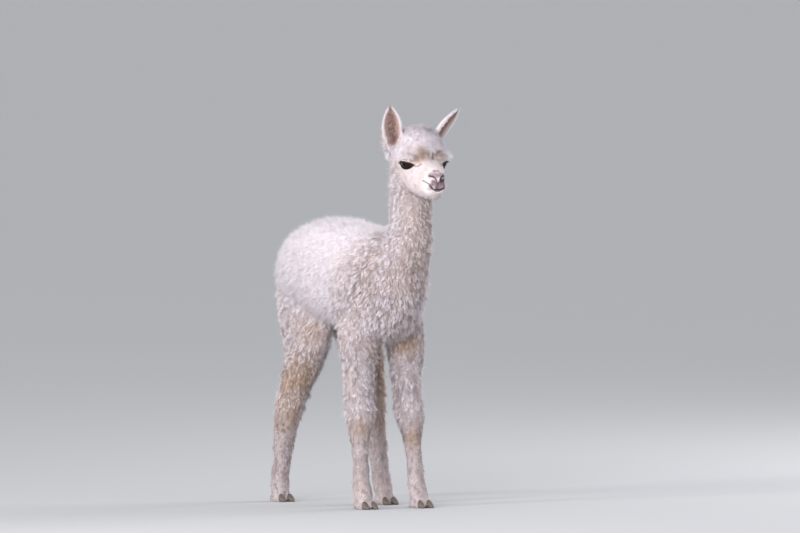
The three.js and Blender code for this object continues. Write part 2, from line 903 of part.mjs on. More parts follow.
// A leg's core lies half way into its long wool, and comes out to the full girth everywhere else.
const legSolids = {};
for (const [name, leg] of Object.entries(LEGS)) {
  const form = legForm(leg);
  const woolly = (t, angle) => form.centre(t).z > LEG_WOOL_END && Math.sin(angle) * leg.side > INNER_SIDE;
  const core = (t, angle) => (woolly(t, angle) ? -FLEECE_DEPTH.leg / 2 : 0.5);
  legSolids[name] = union([form.solid(1, 10, core), ...fleeceOn(form, legWool(leg))]);
}

const whole = union([
  trunk.solid(1, 18, -FLEECE_DEPTH.trunk / 2),
  neck.solid(1, 14, -FLEECE_DEPTH.neck / 2),
  placedOnHead(headForm.solid(1, 14)),
  ...fleeceOn(trunk, woolOn.trunk),
  ...fleeceOn(neck, woolOn.neck),
  ...fleeceOn(headForm, woolOn.poll).map(placedOnHead),
  ...Object.values(legSolids),
]);

// Each roof block takes the legs away from under the trunk, and the tail's bed leaves room for the tail.
const underRoofs = both((side) => Object.values(ROOFS).map((roof) => roofBlock(roof, side))).flat();
const bedCorners = [
  [-1, TAIL_BED.low],
  [1, TAIL_BED.low],
  [1, TAIL_BED.high],
  [-1, TAIL_BED.high],
];
const tailBed = ringSolid(
  [TAIL_FACE - CLEAR, TAIL_FACE].map((x) => {
    return bedCorners.map(([y, z]) => new THREE.Vector3(x, y * TAIL_BED.halfWidth, z));
  }),
);
const trunkNode = below(whole, planes.withers.point, planes.withers.normal);
addNode("torso", trunkNode.subtract(union([...underRoofs, tailBed])), "fleece");

function offset(plane, distance) {
  return plane.point.clone().addScaledVector(plane.normal, distance);
}

const neckNode = below(
  above(whole, offset(planes.withers, SEAM), planes.withers.normal),
  planes.throat.point,
  planes.throat.normal,
);
addNode("neck", neckNode, "fleece");

const headNode = makeHead(above(whole, offset(planes.throat, SEAM), planes.throat.normal));
addNode("head", headNode, "face");

for (const [name, side] of Object.entries(SIDES)) {
  addNode(`ear_${name}`, placedOnHead(earSolid(EAR_POSES[name])), "ear");
  addNode(`eye_${name}`, placedOnHead(eyeBall(side)), "eye");
}

const woollyTail = union([tail.solid(1, 10, -FLEECE_DEPTH.tail / 2), ...fleeceOn(tail, woolOn.tail)]);
addNode("tail", below(woollyTail, new THREE.Vector3(TAIL_FACE - SEAM, 0, 0), AXIS.x), "fleece");

for (const [name, leg] of Object.entries(LEGS)) {
  const place = name.startsWith("front") ? "front" : "hind";
  const roof = roofPlane(ROOFS[place], leg.side);
  const knee = new THREE.Vector3(0, 0, KNEE_CUT[place]);
  const ankle = new THREE.Vector3(0, 0, FOOT.ankle);
  const seam = new THREE.Vector3(0, 0, SEAM);
  const upper = above(below(legSolids[name], roof.point, roof.normal), knee, AXIS.z);
  const lower = above(below(legSolids[name], knee.clone().sub(seam), AXIS.z), ankle, AXIS.z);
  addNode(`leg_${name}_upper`, upper, "fleece");
  addNode(`leg_${name}_lower`, lower, "fleece");
  const foot = footPlace(leg);
  const toes = [-1, 1].map((toeSide) => toeForm(foot, toeSide).solid(1, 6));
  const nailStart = new THREE.Vector3(foot.x + FOOT.toeLength - FOOT.nailLength, 0, 0);
  const slant = new THREE.Vector3(1, 0, 0.35).normalize();
  const shank = below(legSolids[name], ankle.clone().sub(seam), AXIS.z);
  const footNode = below(union([shank, ...toes]), nailStart, slant);
  addNode(`foot_${name}`, above(footNode, new THREE.Vector3(), AXIS.z), "fleece");
  toes.forEach((toe, i) => {
    const nail = above(toe, nailStart.clone().addScaledVector(slant, SEAM), slant);
    addNode(`nail_${name}_${i + 1}`, above(nail, new THREE.Vector3(), AXIS.z), "horn");
  });
}

// The origin is on the floor under the middle of the figure.
const bounds = new THREE.Box3().setFromObject(alpaca);
const middle = bounds.getCenter(new THREE.Vector3());
alpaca.position.set(-middle.x, -middle.y, -bounds.min.z);

export default alpaca;
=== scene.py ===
# A young huacaya alpaca as a still, life-size model: skin, fleece, face, ears, eyes and nails.
# Tables are in millimetres from the middle of the trunk, as the solids' are; meshes are in metres.
import math

import bmesh
import bpy
import numpy as np
from mathutils import Matrix, Vector
from mathutils.bvhtree import BVHTree
from mathutils.kdtree import KDTree


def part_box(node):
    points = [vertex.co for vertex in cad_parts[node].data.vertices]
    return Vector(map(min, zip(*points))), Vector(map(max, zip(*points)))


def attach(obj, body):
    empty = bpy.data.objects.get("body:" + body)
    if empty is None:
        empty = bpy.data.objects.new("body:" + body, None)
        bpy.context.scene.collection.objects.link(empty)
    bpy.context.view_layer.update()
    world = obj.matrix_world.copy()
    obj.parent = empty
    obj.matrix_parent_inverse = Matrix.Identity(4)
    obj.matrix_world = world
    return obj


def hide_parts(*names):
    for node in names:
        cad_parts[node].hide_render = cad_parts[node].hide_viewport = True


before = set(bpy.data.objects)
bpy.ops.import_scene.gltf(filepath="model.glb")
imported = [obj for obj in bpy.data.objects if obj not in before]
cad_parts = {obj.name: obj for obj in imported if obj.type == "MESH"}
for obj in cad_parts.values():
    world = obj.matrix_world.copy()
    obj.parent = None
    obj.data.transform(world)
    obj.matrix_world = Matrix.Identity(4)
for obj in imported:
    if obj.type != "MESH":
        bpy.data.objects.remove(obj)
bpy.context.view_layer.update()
print("frame loaded:", len(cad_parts), "nodes")

mm = 0.001
sides = {"right": -1, "left": 1}

# The solids' origin was moved under the middle of their box. A toe and a foot show by how much.
frameShift = np.array(
    [
        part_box("nail_front_right_1")[1].x - 189 * mm,
        (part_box("foot_front_right")[0].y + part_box("foot_front_right")[1].y) / 2 + 58 * mm,
        0,
    ]
)

# What stands where, in the solids' own measures.
trunkShape = {
    "rear": -226,
    "front": 256,
    "backHeight": 618,
    "halfWidth": 115,
    "power": 2.25,
    # share of the way to the chest, top and bottom as shares of the back's height, half-width share
    "keys": [
        [0, 0.82, 0.78, 0.03],
        [0.012, 0.85, 0.735, 0.25],
        [0.05, 0.888, 0.682, 0.46],
        [0.115, 0.934, 0.652, 0.66],
        [0.24, 0.98, 0.635, 0.89],
        [0.38, 1, 0.622, 0.985],
        [0.54, 0.986, 0.608, 0.995],
        [0.7, 0.972, 0.58, 0.925],
        [0.8, 0.968, 0.571, 0.79],
        [0.885, 0.95, 0.6, 0.6],
        [0.96, 0.9, 0.66, 0.34],
        [0.99, 0.85, 0.71, 0.15],
        [1, 0.8, 0.76, 0.03],
    ],
}
# height, x, y, to the front, to the back, half-width
neckKeys = [
    [425, 150, 0, 92, 70, 62],
    [470, 180, 0, 82, 78, 68],
    [512, 203, 0, 68, 74, 64],
    [552, 234, 0, 58, 66, 55],
    [592, 245, 0, 52, 58, 48.5],
    [640, 248, 1, 50, 53, 46.5],
    [690, 248, 2, 49, 53, 46.5],
    [728, 250, 3, 45, 56, 47],
    [762, 252, 4, 38, 54, 46],
]
tailKeys = [
    [524, -206, 0, 14, 8, 12],
    [512, -214, 0, 20, 14, 18],
    [484, -226, 0, 22, 16, 21],
    [450, -233, 0, 22, 16, 21],
    [418, -235, 0, 18, 14, 17],
    [398, -234, 0, 11, 9, 10],
    [390, -233, 0, 4, 3, 4],
]
# height, to the front, to the back, half-width
foreGirth = [
    [470, 56, 50, 36],
    [410, 54, 50, 44],
    [355, 45, 45, 45],
    [300, 37, 38, 38],
    [240, 33, 34, 33],
    [198, 35, 32, 33.5],
    [168, 29, 27, 28],
    [140, 21.5, 23, 22.5],
    [92, 19.5, 21, 20.5],
    [56, 21, 23, 22],
    [34, 24, 20, 23.5],
    [14, 22, 14, 22],
]
hindGirth = [
    [485, 70, 70, 30],
    [432, 88, 82, 44],
    [382, 86, 76, 45],
    [338, 69, 68, 40],
    [283, 49, 46, 39],
    [229, 38, 40, 33.5],
    [193, 33, 43, 30.5],
    [165, 29, 37, 27.5],
    [133, 26, 29, 25],
    [92, 22, 24, 22.5],
    [56, 22, 24, 22.5],
    [34, 24, 20, 23.5],
    [14, 22, 14, 22],
]
# where each leg's middle runs: x, and y as a share of its distance from the body's middle
legPlan = {
    "frontRight": {
        "side": -1,
        "girth": foreGirth,
        "spread": 58,
        "x": [118, 124, 131, 132, 133, 137, 137, 138, 141, 143, 147, 152],
        "y": [0.8, 0.95, 1, 1, 1, 1, 1, 1, 1, 1, 1, 1],
    },
    "frontLeft": {
        "side": 1,
        "girth": foreGirth,
        "spread": 58,
        "x": [118, 124, 134, 137, 141, 147, 151, 156, 163, 168, 172, 177],
        "y": [0.8, 0.95, 1.02, 1.03, 1.04, 1.07, 1.09, 1.11, 1.13, 1.15, 1.16, 1.17],
    },
    "hindRight": {
        "side": -1,
        "girth": hindGirth,
        "spread": 60,
        "x": [-118, -98, -80, -68, -90, -119, -130, -138, -147, -154, -161, -164, -160],
        "y": [0.7, 0.83, 0.95, 1.02, 1.03, 1.08, 1.11, 1.12, 1.13, 1.14, 1.16, 1.17, 1.17],
    },
    "hindLeft": {
        "side": 1,
        "girth": hindGirth,
        "spread": 60,
        "x": [-118, -94, -66, -42, -22, -6, 2, 8, 17, 28, 35, 40, 46],
        "y": [0.7, 0.83, 0.95, 1, 1, 1, 1, 1, 1.02, 1.03, 1.04, 1.05, 1.05],
    },
}
toeShape = {
    "spread": 11,
    "halfWidth": 10.2,
    "length": 37,
    "nailLength": 12,
    "middle": 4,  # height of the line that a toe is drawn round
    # x, height above the floor, depth below it, half-width share
    "keys": [
        [-20, 16, 3, 0.6],
        [-6, 26, 4, 1],
        [10, 22, 4, 1],
        [23, 15, 4, 0.85],
        [32, 9, 4, 0.5],
        [37, 3.5, 2, 0.16],
    ],
}
headShape = {
    "centre": [274, 4, 765],
    "yaw": -7,  # degrees, turned a little to its right
    "power": 2.3,
    # x, top, bottom, half-width, from the middle of the skull
    "keys": [
        [-60, 22, -20, 14],
        [-53, 38, -46, 37],
        [-33, 54, -70, 51],
        [-7, 60, -83, 54.5],
        [16, 58, -90, 51],
        [32, 44, -93, 44.5],
        [45, 19, -96, 36],
        [56, -8, -97, 30],
        [68, -23, -96, 25.5],
        [79, -31, -92, 22],
        [87, -39, -82, 17],
        [91, -48, -68, 8],
    ],
}


def wholeTurn(count):
    return np.arange(count) * 2 * np.pi / count


# The half-width on the side that an offset along one of a ring's two axes lies.
def halfAt(ring, axis, offset):
    return np.where(offset > 0, ring[:, 3 + 2 * axis], ring[:, 4 + 2 * axis])


# A form is a smooth tube through key rings: a centre and four half-widths, two along each axis.
class Form:
    endFade = 25  # how many mm past an end count as one whole width
    thinnest = 0.5  # the least half-width, in mm

    def __init__(self, keys, runs, power=2.0):
        self.keys = np.array(keys, float)
        self.runs = runs  # 0 runs along x, 2 runs up and down
        self.power = power
        self.end = len(keys) - 1
        self.axes = np.eye(3)[[1, 2]] if runs == 0 else np.eye(3)[[0, 1]]
        places = np.linspace(0, self.end, 40 * self.end + 1)
        along = self.ring(places)[:, runs]
        order = np.argsort(along)
        self.alongTable = along[order], places[order]

    def ring(self, t):
        t = np.clip(np.atleast_1d(np.asarray(t, float)), 0, self.end)
        i = np.minimum(t.astype(int), self.end - 1)
        k0, k1, k2, k3 = (self.keys[np.clip(i + j, 0, self.end)] for j in (-1, 0, 1, 2))
        u = (t - i)[:, None]
        slope1, slope2, gap = (k2 - k0) / 2, (k3 - k1) / 2, k1 - k2
        return k1 + u * (slope1 + u * (-3 * gap - 2 * slope1 - slope2 + u * (2 * gap + slope1 + slope2)))

    def point(self, t, angle, grow=0.0):
        ring = self.ring(t)
        share = [np.sign(f) * np.abs(f) ** (2 / self.power) for f in (np.cos(angle), np.sin(angle))]
        places = ring[:, :3].copy()
        for k, s in enumerate(share):
            places += (s * np.maximum(self.thinnest, halfAt(ring, k, s) + grow))[:, None] * self.axes[k]
        return places

    # How far out each point lies, as a share of the form's own width there. Past an end it grows fast.
    def reach(self, points):
        along, places = self.alongTable
        at = points[:, self.runs]
        ring = self.ring(np.interp(at, along, places))
        offset = points - ring[:, :3]
        total = np.zeros(len(points))
        for k in range(2):
            s = offset @ self.axes[k]
            total += (np.abs(s) / np.maximum(self.thinnest, halfAt(ring, k, s))) ** self.power
        past = np.maximum(0, np.maximum(along[0] - at, at - along[-1]))
        return total ** (1 / self.power) + past / self.endFade

    # Vertices and faces of the closed tube, its ends drawn to their middles.
    def loft(self, perKey, around, grow=0.0):
        steps = self.end * perKey + 1
        t, angle = np.meshgrid(np.linspace(0, self.end, steps), wholeTurn(around), indexing="ij")
        t, angle = t.ravel(), angle.ravel()
        depth = grow(t, angle) if callable(grow) else grow
        places = self.point(t, angle, depth)
        return closedTube(places.reshape(steps, around, 3))


# A closed mesh through rings of points, each end drawn to its middle.
def closedTube(rings):
    steps, around = rings.shape[:2]
    places = np.vstack([rings.reshape(-1, 3), rings[0].mean(0), rings[-1].mean(0)])
    i, j = np.meshgrid(np.arange(steps - 1), np.arange(around), indexing="ij")
    a, b = (i * around + j).ravel(), (i * around + (j + 1) % around).ravel()
    quads = np.stack([a, b, b + around, a + around], 1).tolist()
    first, last, start = steps * around, steps * around + 1, (steps - 1) * around
    ends = [[first, (k + 1) % around, k] for k in range(around)]
    ends += [[last, start + k, start + (k + 1) % around] for k in range(around)]
    return places, quads + ends


def ringAt(x, top, low, half):
    return [x, 0, (top + low) / 2, half, half, (top - low) / 2, (top - low) / 2]


def headForm():
    return Form([ringAt(*key) for key in headShape["keys"]], 0, headShape["power"])


def trunkForm():
    plan, rings = trunkShape, []
    for share, top, low, half in plan["keys"]:
        x, high = plan["rear"] + share * (plan["front"] - plan["rear"]), plan["backHeight"]
        rings.append(ringAt(x, top * high, low * high, half * plan["halfWidth"]))
    return Form(rings, 0, plan["power"])


def limbForm(keys):
    return Form([[x, y, z, fore, aft, w, w] for z, x, y, fore, aft, w in keys], 2)


def legForm(leg):
    keys = []
    for (z, fore, aft, w), x, share in zip(leg["girth"], leg["x"], leg["y"]):
        keys.append([z, x, leg["side"] * leg["spread"] * share, fore, aft, w])
    return limbForm(keys)


def footPlace(leg):
    return np.array([leg["x"][-1], leg["side"] * leg["spread"] * leg["y"][-1], 0])


def toeForm(foot, toeSide):
    y, z = foot[1] + toeSide * toeShape["spread"], toeShape["middle"]
    keys = []
    for x, up, down, share in toeShape["keys"]:
        half = share * toeShape["halfWidth"]
        keys.append([foot[0] + x, y, z, half, half, up - z, down + z])
    return Form(keys, 0)


trunk, neck, tail, head = trunkForm(), limbForm(neckKeys), limbForm(tailKeys), headForm()
legs = {name: legForm(leg) for name, leg in legPlan.items()}

headTurn = np.array(Matrix.Rotation(math.radians(headShape["yaw"]), 3, "Z"))
headCentre = np.array(headShape["centre"], float)


def fromHead(points):
    return np.asarray(points, float) @ headTurn.T + headCentre


def toHead(points):
    return (np.asarray(points, float) - headCentre) @ headTurn


# millimetres of the plan to metres of the scene, and back
def toScene(points):
    return np.asarray(points, float) * mm + frameShift


def toPlan(points):
    return (np.asarray(points, float) - frameShift) / mm


def smoothStep(low, high, value):
    t = np.clip((np.asarray(value, float) - low) / (high - low), 0, 1)
    return t * t * (3 - 2 * t)


def towards(points, centre, radii):
    return np.exp(-(((points - np.array(centre, float)) / np.array(radii, float)) ** 2).sum(1))


def sizes(vectors):
    return np.linalg.norm(vectors, axis=-1)


def unit(vectors):
    return vectors / np.maximum(1e-9, np.linalg.norm(vectors, axis=-1, keepdims=True))


def linked(name, data):
    made = bpy.data.objects.new(name, data)
    bpy.context.scene.collection.objects.link(made)
    return made


def shadeSmooth(mesh):
    mesh.polygons.foreach_set("use_smooth", [True] * len(mesh.polygons))


def meshObject(name, places, faces):
    mesh = bpy.data.meshes.new(name)
    mesh.from_pydata(np.asarray(places).tolist(), [], faces)
    mesh.validate()
    shadeSmooth(mesh)
    return linked(name, mesh)


def joined(parts):
    places, faces, count = [], [], 0
    for points, polygons in parts:
        places.append(points)
        faces += [[v + count for v in face] for face in polygons]
        count += len(points)
    return np.vstack(places), faces


# The mesh that an object's modifiers give takes the place of its own.
def applyModifiers(piece):
    evaluated = piece.evaluated_get(bpy.context.evaluated_depsgraph_get())
    made = bpy.data.meshes.new_from_object(evaluated)
    piece.modifiers.clear()
    old = piece.data
    piece.data = made
    bpy.data.meshes.remove(old)


def remesh(piece, voxel):
    modifier = piece.modifiers.new("even", "REMESH")
    modifier.mode = "VOXEL"
    modifier.voxel_size = voxel
    modifier.use_smooth_shade = True
    applyModifiers(piece)


def readArray(items, key, width, kind=float):
    values = np.empty(len(items) * width, kind)
    items.foreach_get(key, values)
    return values.reshape(-1, width)


def meshPlaces(mesh):
    return readArray(mesh.vertices, "co", 3)


def meshNormals(mesh):
    return readArray(mesh.vertex_normals, "vector", 3)


def meshEdges(mesh):
    return readArray(mesh.edges, "vertices", 2, int)


def setPlaces(mesh, places):
    mesh.vertices.foreach_set("co", np.asarray(places, float).ravel())
    mesh.update()


def setAttribute(mesh, name, values, kind="FLOAT"):
    field = "value" if kind == "FLOAT" else "vector"
    mesh.attributes.new(name, kind, "POINT").data.foreach_set(field, np.asarray(values, np.float32).ravel())


def fixNormals(mesh):
    bm = bmesh.new()
    bm.from_mesh(mesh)
    bmesh.ops.recalc_face_normals(bm, faces=bm.faces[:])
    bm.to_mesh(mesh)
    bm.free()


# Cuts off what lies past each plane, and closes the openings.
def trim(mesh, planes):
    bm = bmesh.new()
    bm.from_mesh(mesh)
    for place, normal in planes:
        geometry = bm.verts[:] + bm.edges[:] + bm.faces[:]
        bmesh.ops.bisect_plane(bm, geom=geometry, plane_co=place, plane_no=normal, clear_outer=True)
        bmesh.ops.holes_fill(bm, edges=[e for e in bm.edges if e.is_boundary])
    bm.to_mesh(mesh)
    bm.free()


# Averages values over a mesh's neighbouring vertices, as often as rounds says.
def eased(values, edges, rounds):
    count = len(values)
    degree = np.bincount(edges.ravel(), minlength=count).astype(float)[:, None]
    values = values.astype(float)
    for _ in range(rounds):
        total = np.zeros_like(values)
        for k in range(values.shape[1]):
            total[:, k] = np.bincount(edges[:, 0], values[edges[:, 1], k], count)
            total[:, k] += np.bincount(edges[:, 1], values[edges[:, 0], k], count)
        values = (values + total / np.maximum(1, degree)) / 2
    return values


# Eases a mesh by so many rounds, and by so many others where the share is 1.
def easeMesh(mesh, share, rounds, others):
    places, edges = meshPlaces(mesh), meshEdges(mesh)
    share = share[:, None]
    setPlaces(mesh, eased(places, edges, rounds) * (1 - share) + eased(places, edges, others) * share)


# The skin lies under the wool: how deep, in mm, at each part.
skinDepth = {
    "trunk": 9.5,
    "neck": 7.5,
    "leg": 6,
    "shank": 3.4,
    "tail": 9,
    "crown": 6.5,
    "face": 1.6,
    "toe": 1.6,
    "shankTop": [165, 295],  # where the wool of the legs begins and is whole, in height
    "feetTop": [70, 40],  # and where the feet do
    "headCut": 676,  # where the fine skin of the head ends on the neck, in height
    "bodyVoxel": 5.4,
    "headVoxel": 1.3,
    "bodyEasing": [8, 1],  # rounds on the body, and on the feet
    "headEasing": [7, 2],  # rounds on the head, and on the ears
}


def legDepth(form):
    def depth(t, angle):
        z = form.ring(t)[:, 2]
        woolly = smoothStep(*skinDepth["shankTop"], z)
        return -(skinDepth["shank"] + (skinDepth["leg"] - skinDepth["shank"]) * woolly)

    return depth


def headDepth(t, angle):
    x = head.ring(t)[:, 0]
    onCrown = smoothStep(-0.1, 0.5, np.sin(angle)) * (1 - smoothStep(22, 40, x))
    wool = np.maximum(onCrown, 1 - smoothStep(-22, 2, x))
    return -(skinDepth["face"] + (skinDepth["crown"] - skinDepth["face"]) * wool)


eyeShape = {
    "radius": 13.5,
    "place": [24, 38, -20],
    "forward": 31,  # degrees forward of straight out
    "slant": 8,  # degrees that the inner corner lies lower
    "lid": 2.1,
    "halfOpening": 19,
    "above": 4.5,
    "below": 11.5,
    "opened": [0.5, 30],  # from how deep to how far out the lids are cut open, from the eye's middle
    "play": 0.25,  # between an eye and the hollow that it lies in
    "clear": 40,  # how far out a place is clear of the face
    "rim": [0.95, 0.8],  # the rim's radius, and how far it is sunk in the lid
    # folds of the lids: share of the opening's width, height, bow, lift, half-width, depth, edges
    "folds": [[1.0, 9.0, -2.0, -0.5, 1.3, 1.6, 0.3], [0.8, -15.5, 4.0, 0.0, 1.6, 1.3, 0.5]],
    # the tear line's ends along, up and out from the eye's middle, and its half-width, depth and edges
    "tear": [[[16, -1, 5], [29, -8, -2]], [1.9, 1.5, 0.3]],
    # the soft form over it, up and out from its middle, and its radii
    "brow": [12, -5, [25, 14, 11]],
}


# An eye's middle and its own axes: along its opening to the nose, up, and the way it looks.
def eyeFrame(side):
    forward, slant = math.radians(eyeShape["forward"]), math.radians(eyeShape["slant"])
    look = np.array([math.sin(forward), side * math.cos(forward), 0])
    level = np.array([math.cos(forward), -side * math.sin(forward), 0])
    along = level * math.cos(slant) - np.array([0, 0, math.sin(slant)])
    up = np.cross(along, look) * side
    up = up if up[2] > 0 else -up
    x, y, z = eyeShape["place"]
    return np.array([x, side * y, z], float), along, up, look


def ball(centre, radii, around=40, rows=26):
    polar, turn = np.meshgrid(np.linspace(0.02, np.pi - 0.02, rows), wholeTurn(around), indexing="ij")
    rings = np.stack([np.sin(polar) * np.cos(turn), np.sin(polar) * np.sin(turn), np.cos(polar)], -1)
    return closedTube(rings * np.array(radii, float) + np.array(centre, float))


earShape = {
    "halfWidth": 22,
    "wall": 3.4,
    # share of the length, half-width share, depth of the cup in half-widths
    "stations": [
        [0, 0.5, 0.8],
        [0.14, 0.72, 0.8],
        [0.3, 0.92, 0.68],
        [0.5, 1, 0.56],
        [0.68, 0.88, 0.5],
        [0.83, 0.6, 0.45],
        [0.94, 0.3, 0.4],
        [1, 0.1, 0.4],
    ],
    "poses": {
        "right": {"root": [-23, -48, 8], "tip": [-22, -58, 101], "facing": [0.9, -0.42, 0]},
        "left": {"root": [-18, 42, 18], "tip": [6, 91, 95], "facing": [0.75, 0.52, -0.4]},
    },
    "steps": 12,
    "reach": [-0.06, 1, 30],  # from under the skin to the tip, in so many rings
}


def earAxes(pose):
    root, tip = np.array(pose["root"], float), np.array(pose["tip"], float)
    length = sizes(tip - root)
    along = (tip - root) / length
    front = np.array(pose["facing"], float)
    front = unit(front - along * (front @ along))
    return root, length, along, front, np.cross(along, front)


# A station's value at shares of the ear's length: column 1 is the half-width, 2 the depth of the cup.
def earAt(share, column):
    stations = np.array(earShape["stations"])
    return np.interp(share, stations[:, 0], stations[:, column])


# A cupped leaf: the outer face is a half ring, and the inner one follows it a wall inside.
def earTube(pose):
    root, length, along, front, across = earAxes(pose)
    angle = np.linspace(0, np.pi, earShape["steps"] + 1)[:, None]
    rings = []
    for share in np.linspace(*earShape["reach"]):
        w = earShape["halfWidth"] * earAt(share, 1)
        depth = w * earAt(share, 2)
        wall = min(earShape["wall"], w * 0.5)
        centre = root + along * share * length
        outer = centre + across * np.cos(angle) * w - front * np.sin(angle) * depth
        sunk = np.sin(angle) * max(0.4, depth - wall) - 0.8
        inner = centre + across * np.cos(angle) * (w - wall) - front * sunk
        rings.append(np.vstack([outer, inner[::-1]]))
    return closedTube(np.array(rings))


# A form given in the head's measures, turned with it.
def withHead(part):
    places, faces = part
    return fromHead(places), faces


def headObject(name, part):
    places, faces = withHead(part)
    return meshObject(name, toScene(places), faces)


# Where a ray from ahead of the nose meets the head, in the head's measures.
def facePoint(tree, y, z):
    start, way = toScene(fromHead([[muzzleShape["ahead"], y, z]]))[0], headTurn @ np.array([-1.0, 0, 0])
    return toHead(toPlan([tree.ray_cast(Vector(start), Vector(way))[0]]))[0]


def lineThrough(points, count):
    points = np.array(points, float)
    lengths = np.concatenate([[0], np.cumsum(sizes(np.diff(points, axis=0)))])
    at = np.linspace(0, lengths[-1], count)
    return np.stack([np.interp(at, lengths, points[:, k]) for k in range(points.shape[1])], 1)


# Distance from each place to the nearest point of a line.
def distanceTo(places, line):
    best = np.full(len(places), 1e9)
    for point in line:
        best = np.minimum(best, sizes(places - point))
    return best


muzzleShape = {
    "ahead": 130,  # a place clear of the nose
    "forward": 3.5,  # how far the skin's muzzle stands past the skull's
    "chinBack": 7,  # how far the chin stands back
    "from": [52, 86],  # where the muzzle begins and is whole, from the middle of the skull
    "chinFrom": [-76, -92],  # and where the chin does
    # where the furrows run, out from the middle and up from the middle of the skull
    "mouth": [
        [24, -55],
        [21, -57.5],
        [18.5, -61],
        [16, -65.5],
        [13.5, -70],
        [9, -74],
        [4, -76.5],
        [0, -77.5],
    ],
    "nostril": [[15.5, -44.5], [12, -45], [9, -46.5], [6, -49], [4, -53]],
    "underNose": [[14, -54.5], [7, -58.5], [0, -60]],
    "philtrum": [[0, -60], [0, -66], [0, -71], [0, -77]],
    # their half-width, their depth, the height of their edges, and how many places are laid along them
    "furrows": {
        "mouth": [1.6, 3.2, 0.6, 60],
        "underNose": [1.8, 1.6, 0.0, 24],
        "philtrum": [1.4, 1.6, 0.0, 14],
        "nostril": [1.7, 4.5, 1.2, 20],
    },
    # soft forms under the lips, on both sides, and under the chin: middle and radii
    "lips": [[77, 8.5, -67], [6.5, 9, 9.5]],
    "chin": [[78, 0, -86], [7, 12, 6.5]],
    # swellings: middle, reach and lift
    "swellings": [
        [[90, 0, -44], [9, 15, 8], 2.4],
        [[84, 14, -41], [7, 6, 4.5], 1.6],
        [[88, 9, -66], [8, 7.5, 7.5], 2.4],
        [[80, 0, -84], [9, 12, 5], 1.4],
        [[58, 24, -72], [14, 8, 12], 1.2],
        [[66, 19, -44], [9, 6, 7], -1.2],
        [[36, 46, -6], [15, 9, 4.5], 0.8],
        [[52, 22, -2], [9, 13, 8], 2.4],
        [[42, 38, -4], [10, 10, 8], 1.2],
        [[55, 0, -2], [8, 4.5, 10], -2.6],
    ],
}


def buildBodySkin():
    parts = [
        trunk.loft(8, 96, -skinDepth["trunk"]),
        neck.loft(6, 64, -skinDepth["neck"]),
        tail.loft(5, 32, -skinDepth["tail"]),
    ]
    for name, leg in legPlan.items():
        parts.append(legs[name].loft(6, 48, legDepth(legs[name])))
        for toeSide in (-1, 1):
            parts.append(toeForm(footPlace(leg), toeSide).loft(6, 28, -skinDepth["toe"]))
    places, faces = joined(parts)
    body = meshObject("skin", toScene(places), faces)
    remesh(body, skinDepth["bodyVoxel"] * mm)
    onFeet = smoothStep(*skinDepth["feetTop"], toPlan(meshPlaces(body.data))[:, 2])
    easeMesh(body.data, onFeet, *skinDepth["bodyEasing"])
    print("body skin:", len(body.data.polygons), "faces")
    return body


def buildFaceSkin():
    parts = [withHead(head.loft(8, 88, headDepth)), neck.loft(6, 64, -skinDepth["neck"] - 1)]
    high, out, browRadii = eyeShape["brow"]
    (x, y, z), lipRadii = muzzleShape["lips"]
    for side in sides.values():
        place, along, up, look = eyeFrame(side)
        parts.append(withHead(ball(place, [eyeShape["radius"] + eyeShape["lid"]] * 3)))
        parts.append(withHead(ball(place + up * high + look * out, browRadii)))
        parts.append(withHead(ball([x, side * y, z], lipRadii)))
    parts.append(withHead(ball(*muzzleShape["chin"])))
    for pose in earShape["poses"].values():
        parts.append(withHead(earTube(pose)))
    places, faces = joined(parts)
    face = meshObject("faceSkin", toScene(places), faces)
    trim(face.data, [(toScene([[0, 0, skinDepth["headCut"]]])[0], (0, 0, -1))])
    remesh(face, skinDepth["headVoxel"] * mm)
    local = toHead(toPlan(meshPlaces(face.data)))
    onEars = np.zeros(len(local))
    for pose in earShape["poses"].values():
        root, length, along, front, across = earAxes(pose)
        onEars = np.maximum(onEars, smoothStep(0.1, 0.25, (local - root) @ along / length))
    easeMesh(face.data, onEars, *skinDepth["headEasing"])
    print("head skin:", len(face.data.polygons), "faces")
    return face


skin, faceSkin = buildBodySkin(), buildFaceSkin()


def treeOf(piece):
    return BVHTree.FromObject(piece, bpy.context.evaluated_depsgraph_get())


# The nearest places on a piece, in the head's measures.
def onSkin(tree, places):
    return toHead(toPlan([tree.find_nearest(Vector(p))[0] for p in toScene(fromHead(places))]))


def kindOf(name):
    return name.removesuffix("right").removesuffix("left")


# Where the furrows of the face run.
def faceCourses():
    courses = {}
    for name in ("mouth", "underNose"):
        half = muzzleShape[name]
        courses[name] = half + [[-y, z] for y, z in half[-2::-1]]
    courses["philtrum"] = muzzleShape["philtrum"]
    for name, side in sides.items():
        courses["nostril" + name] = [[side * y, z] for y, z in muzzleShape["nostril"]]
    return courses


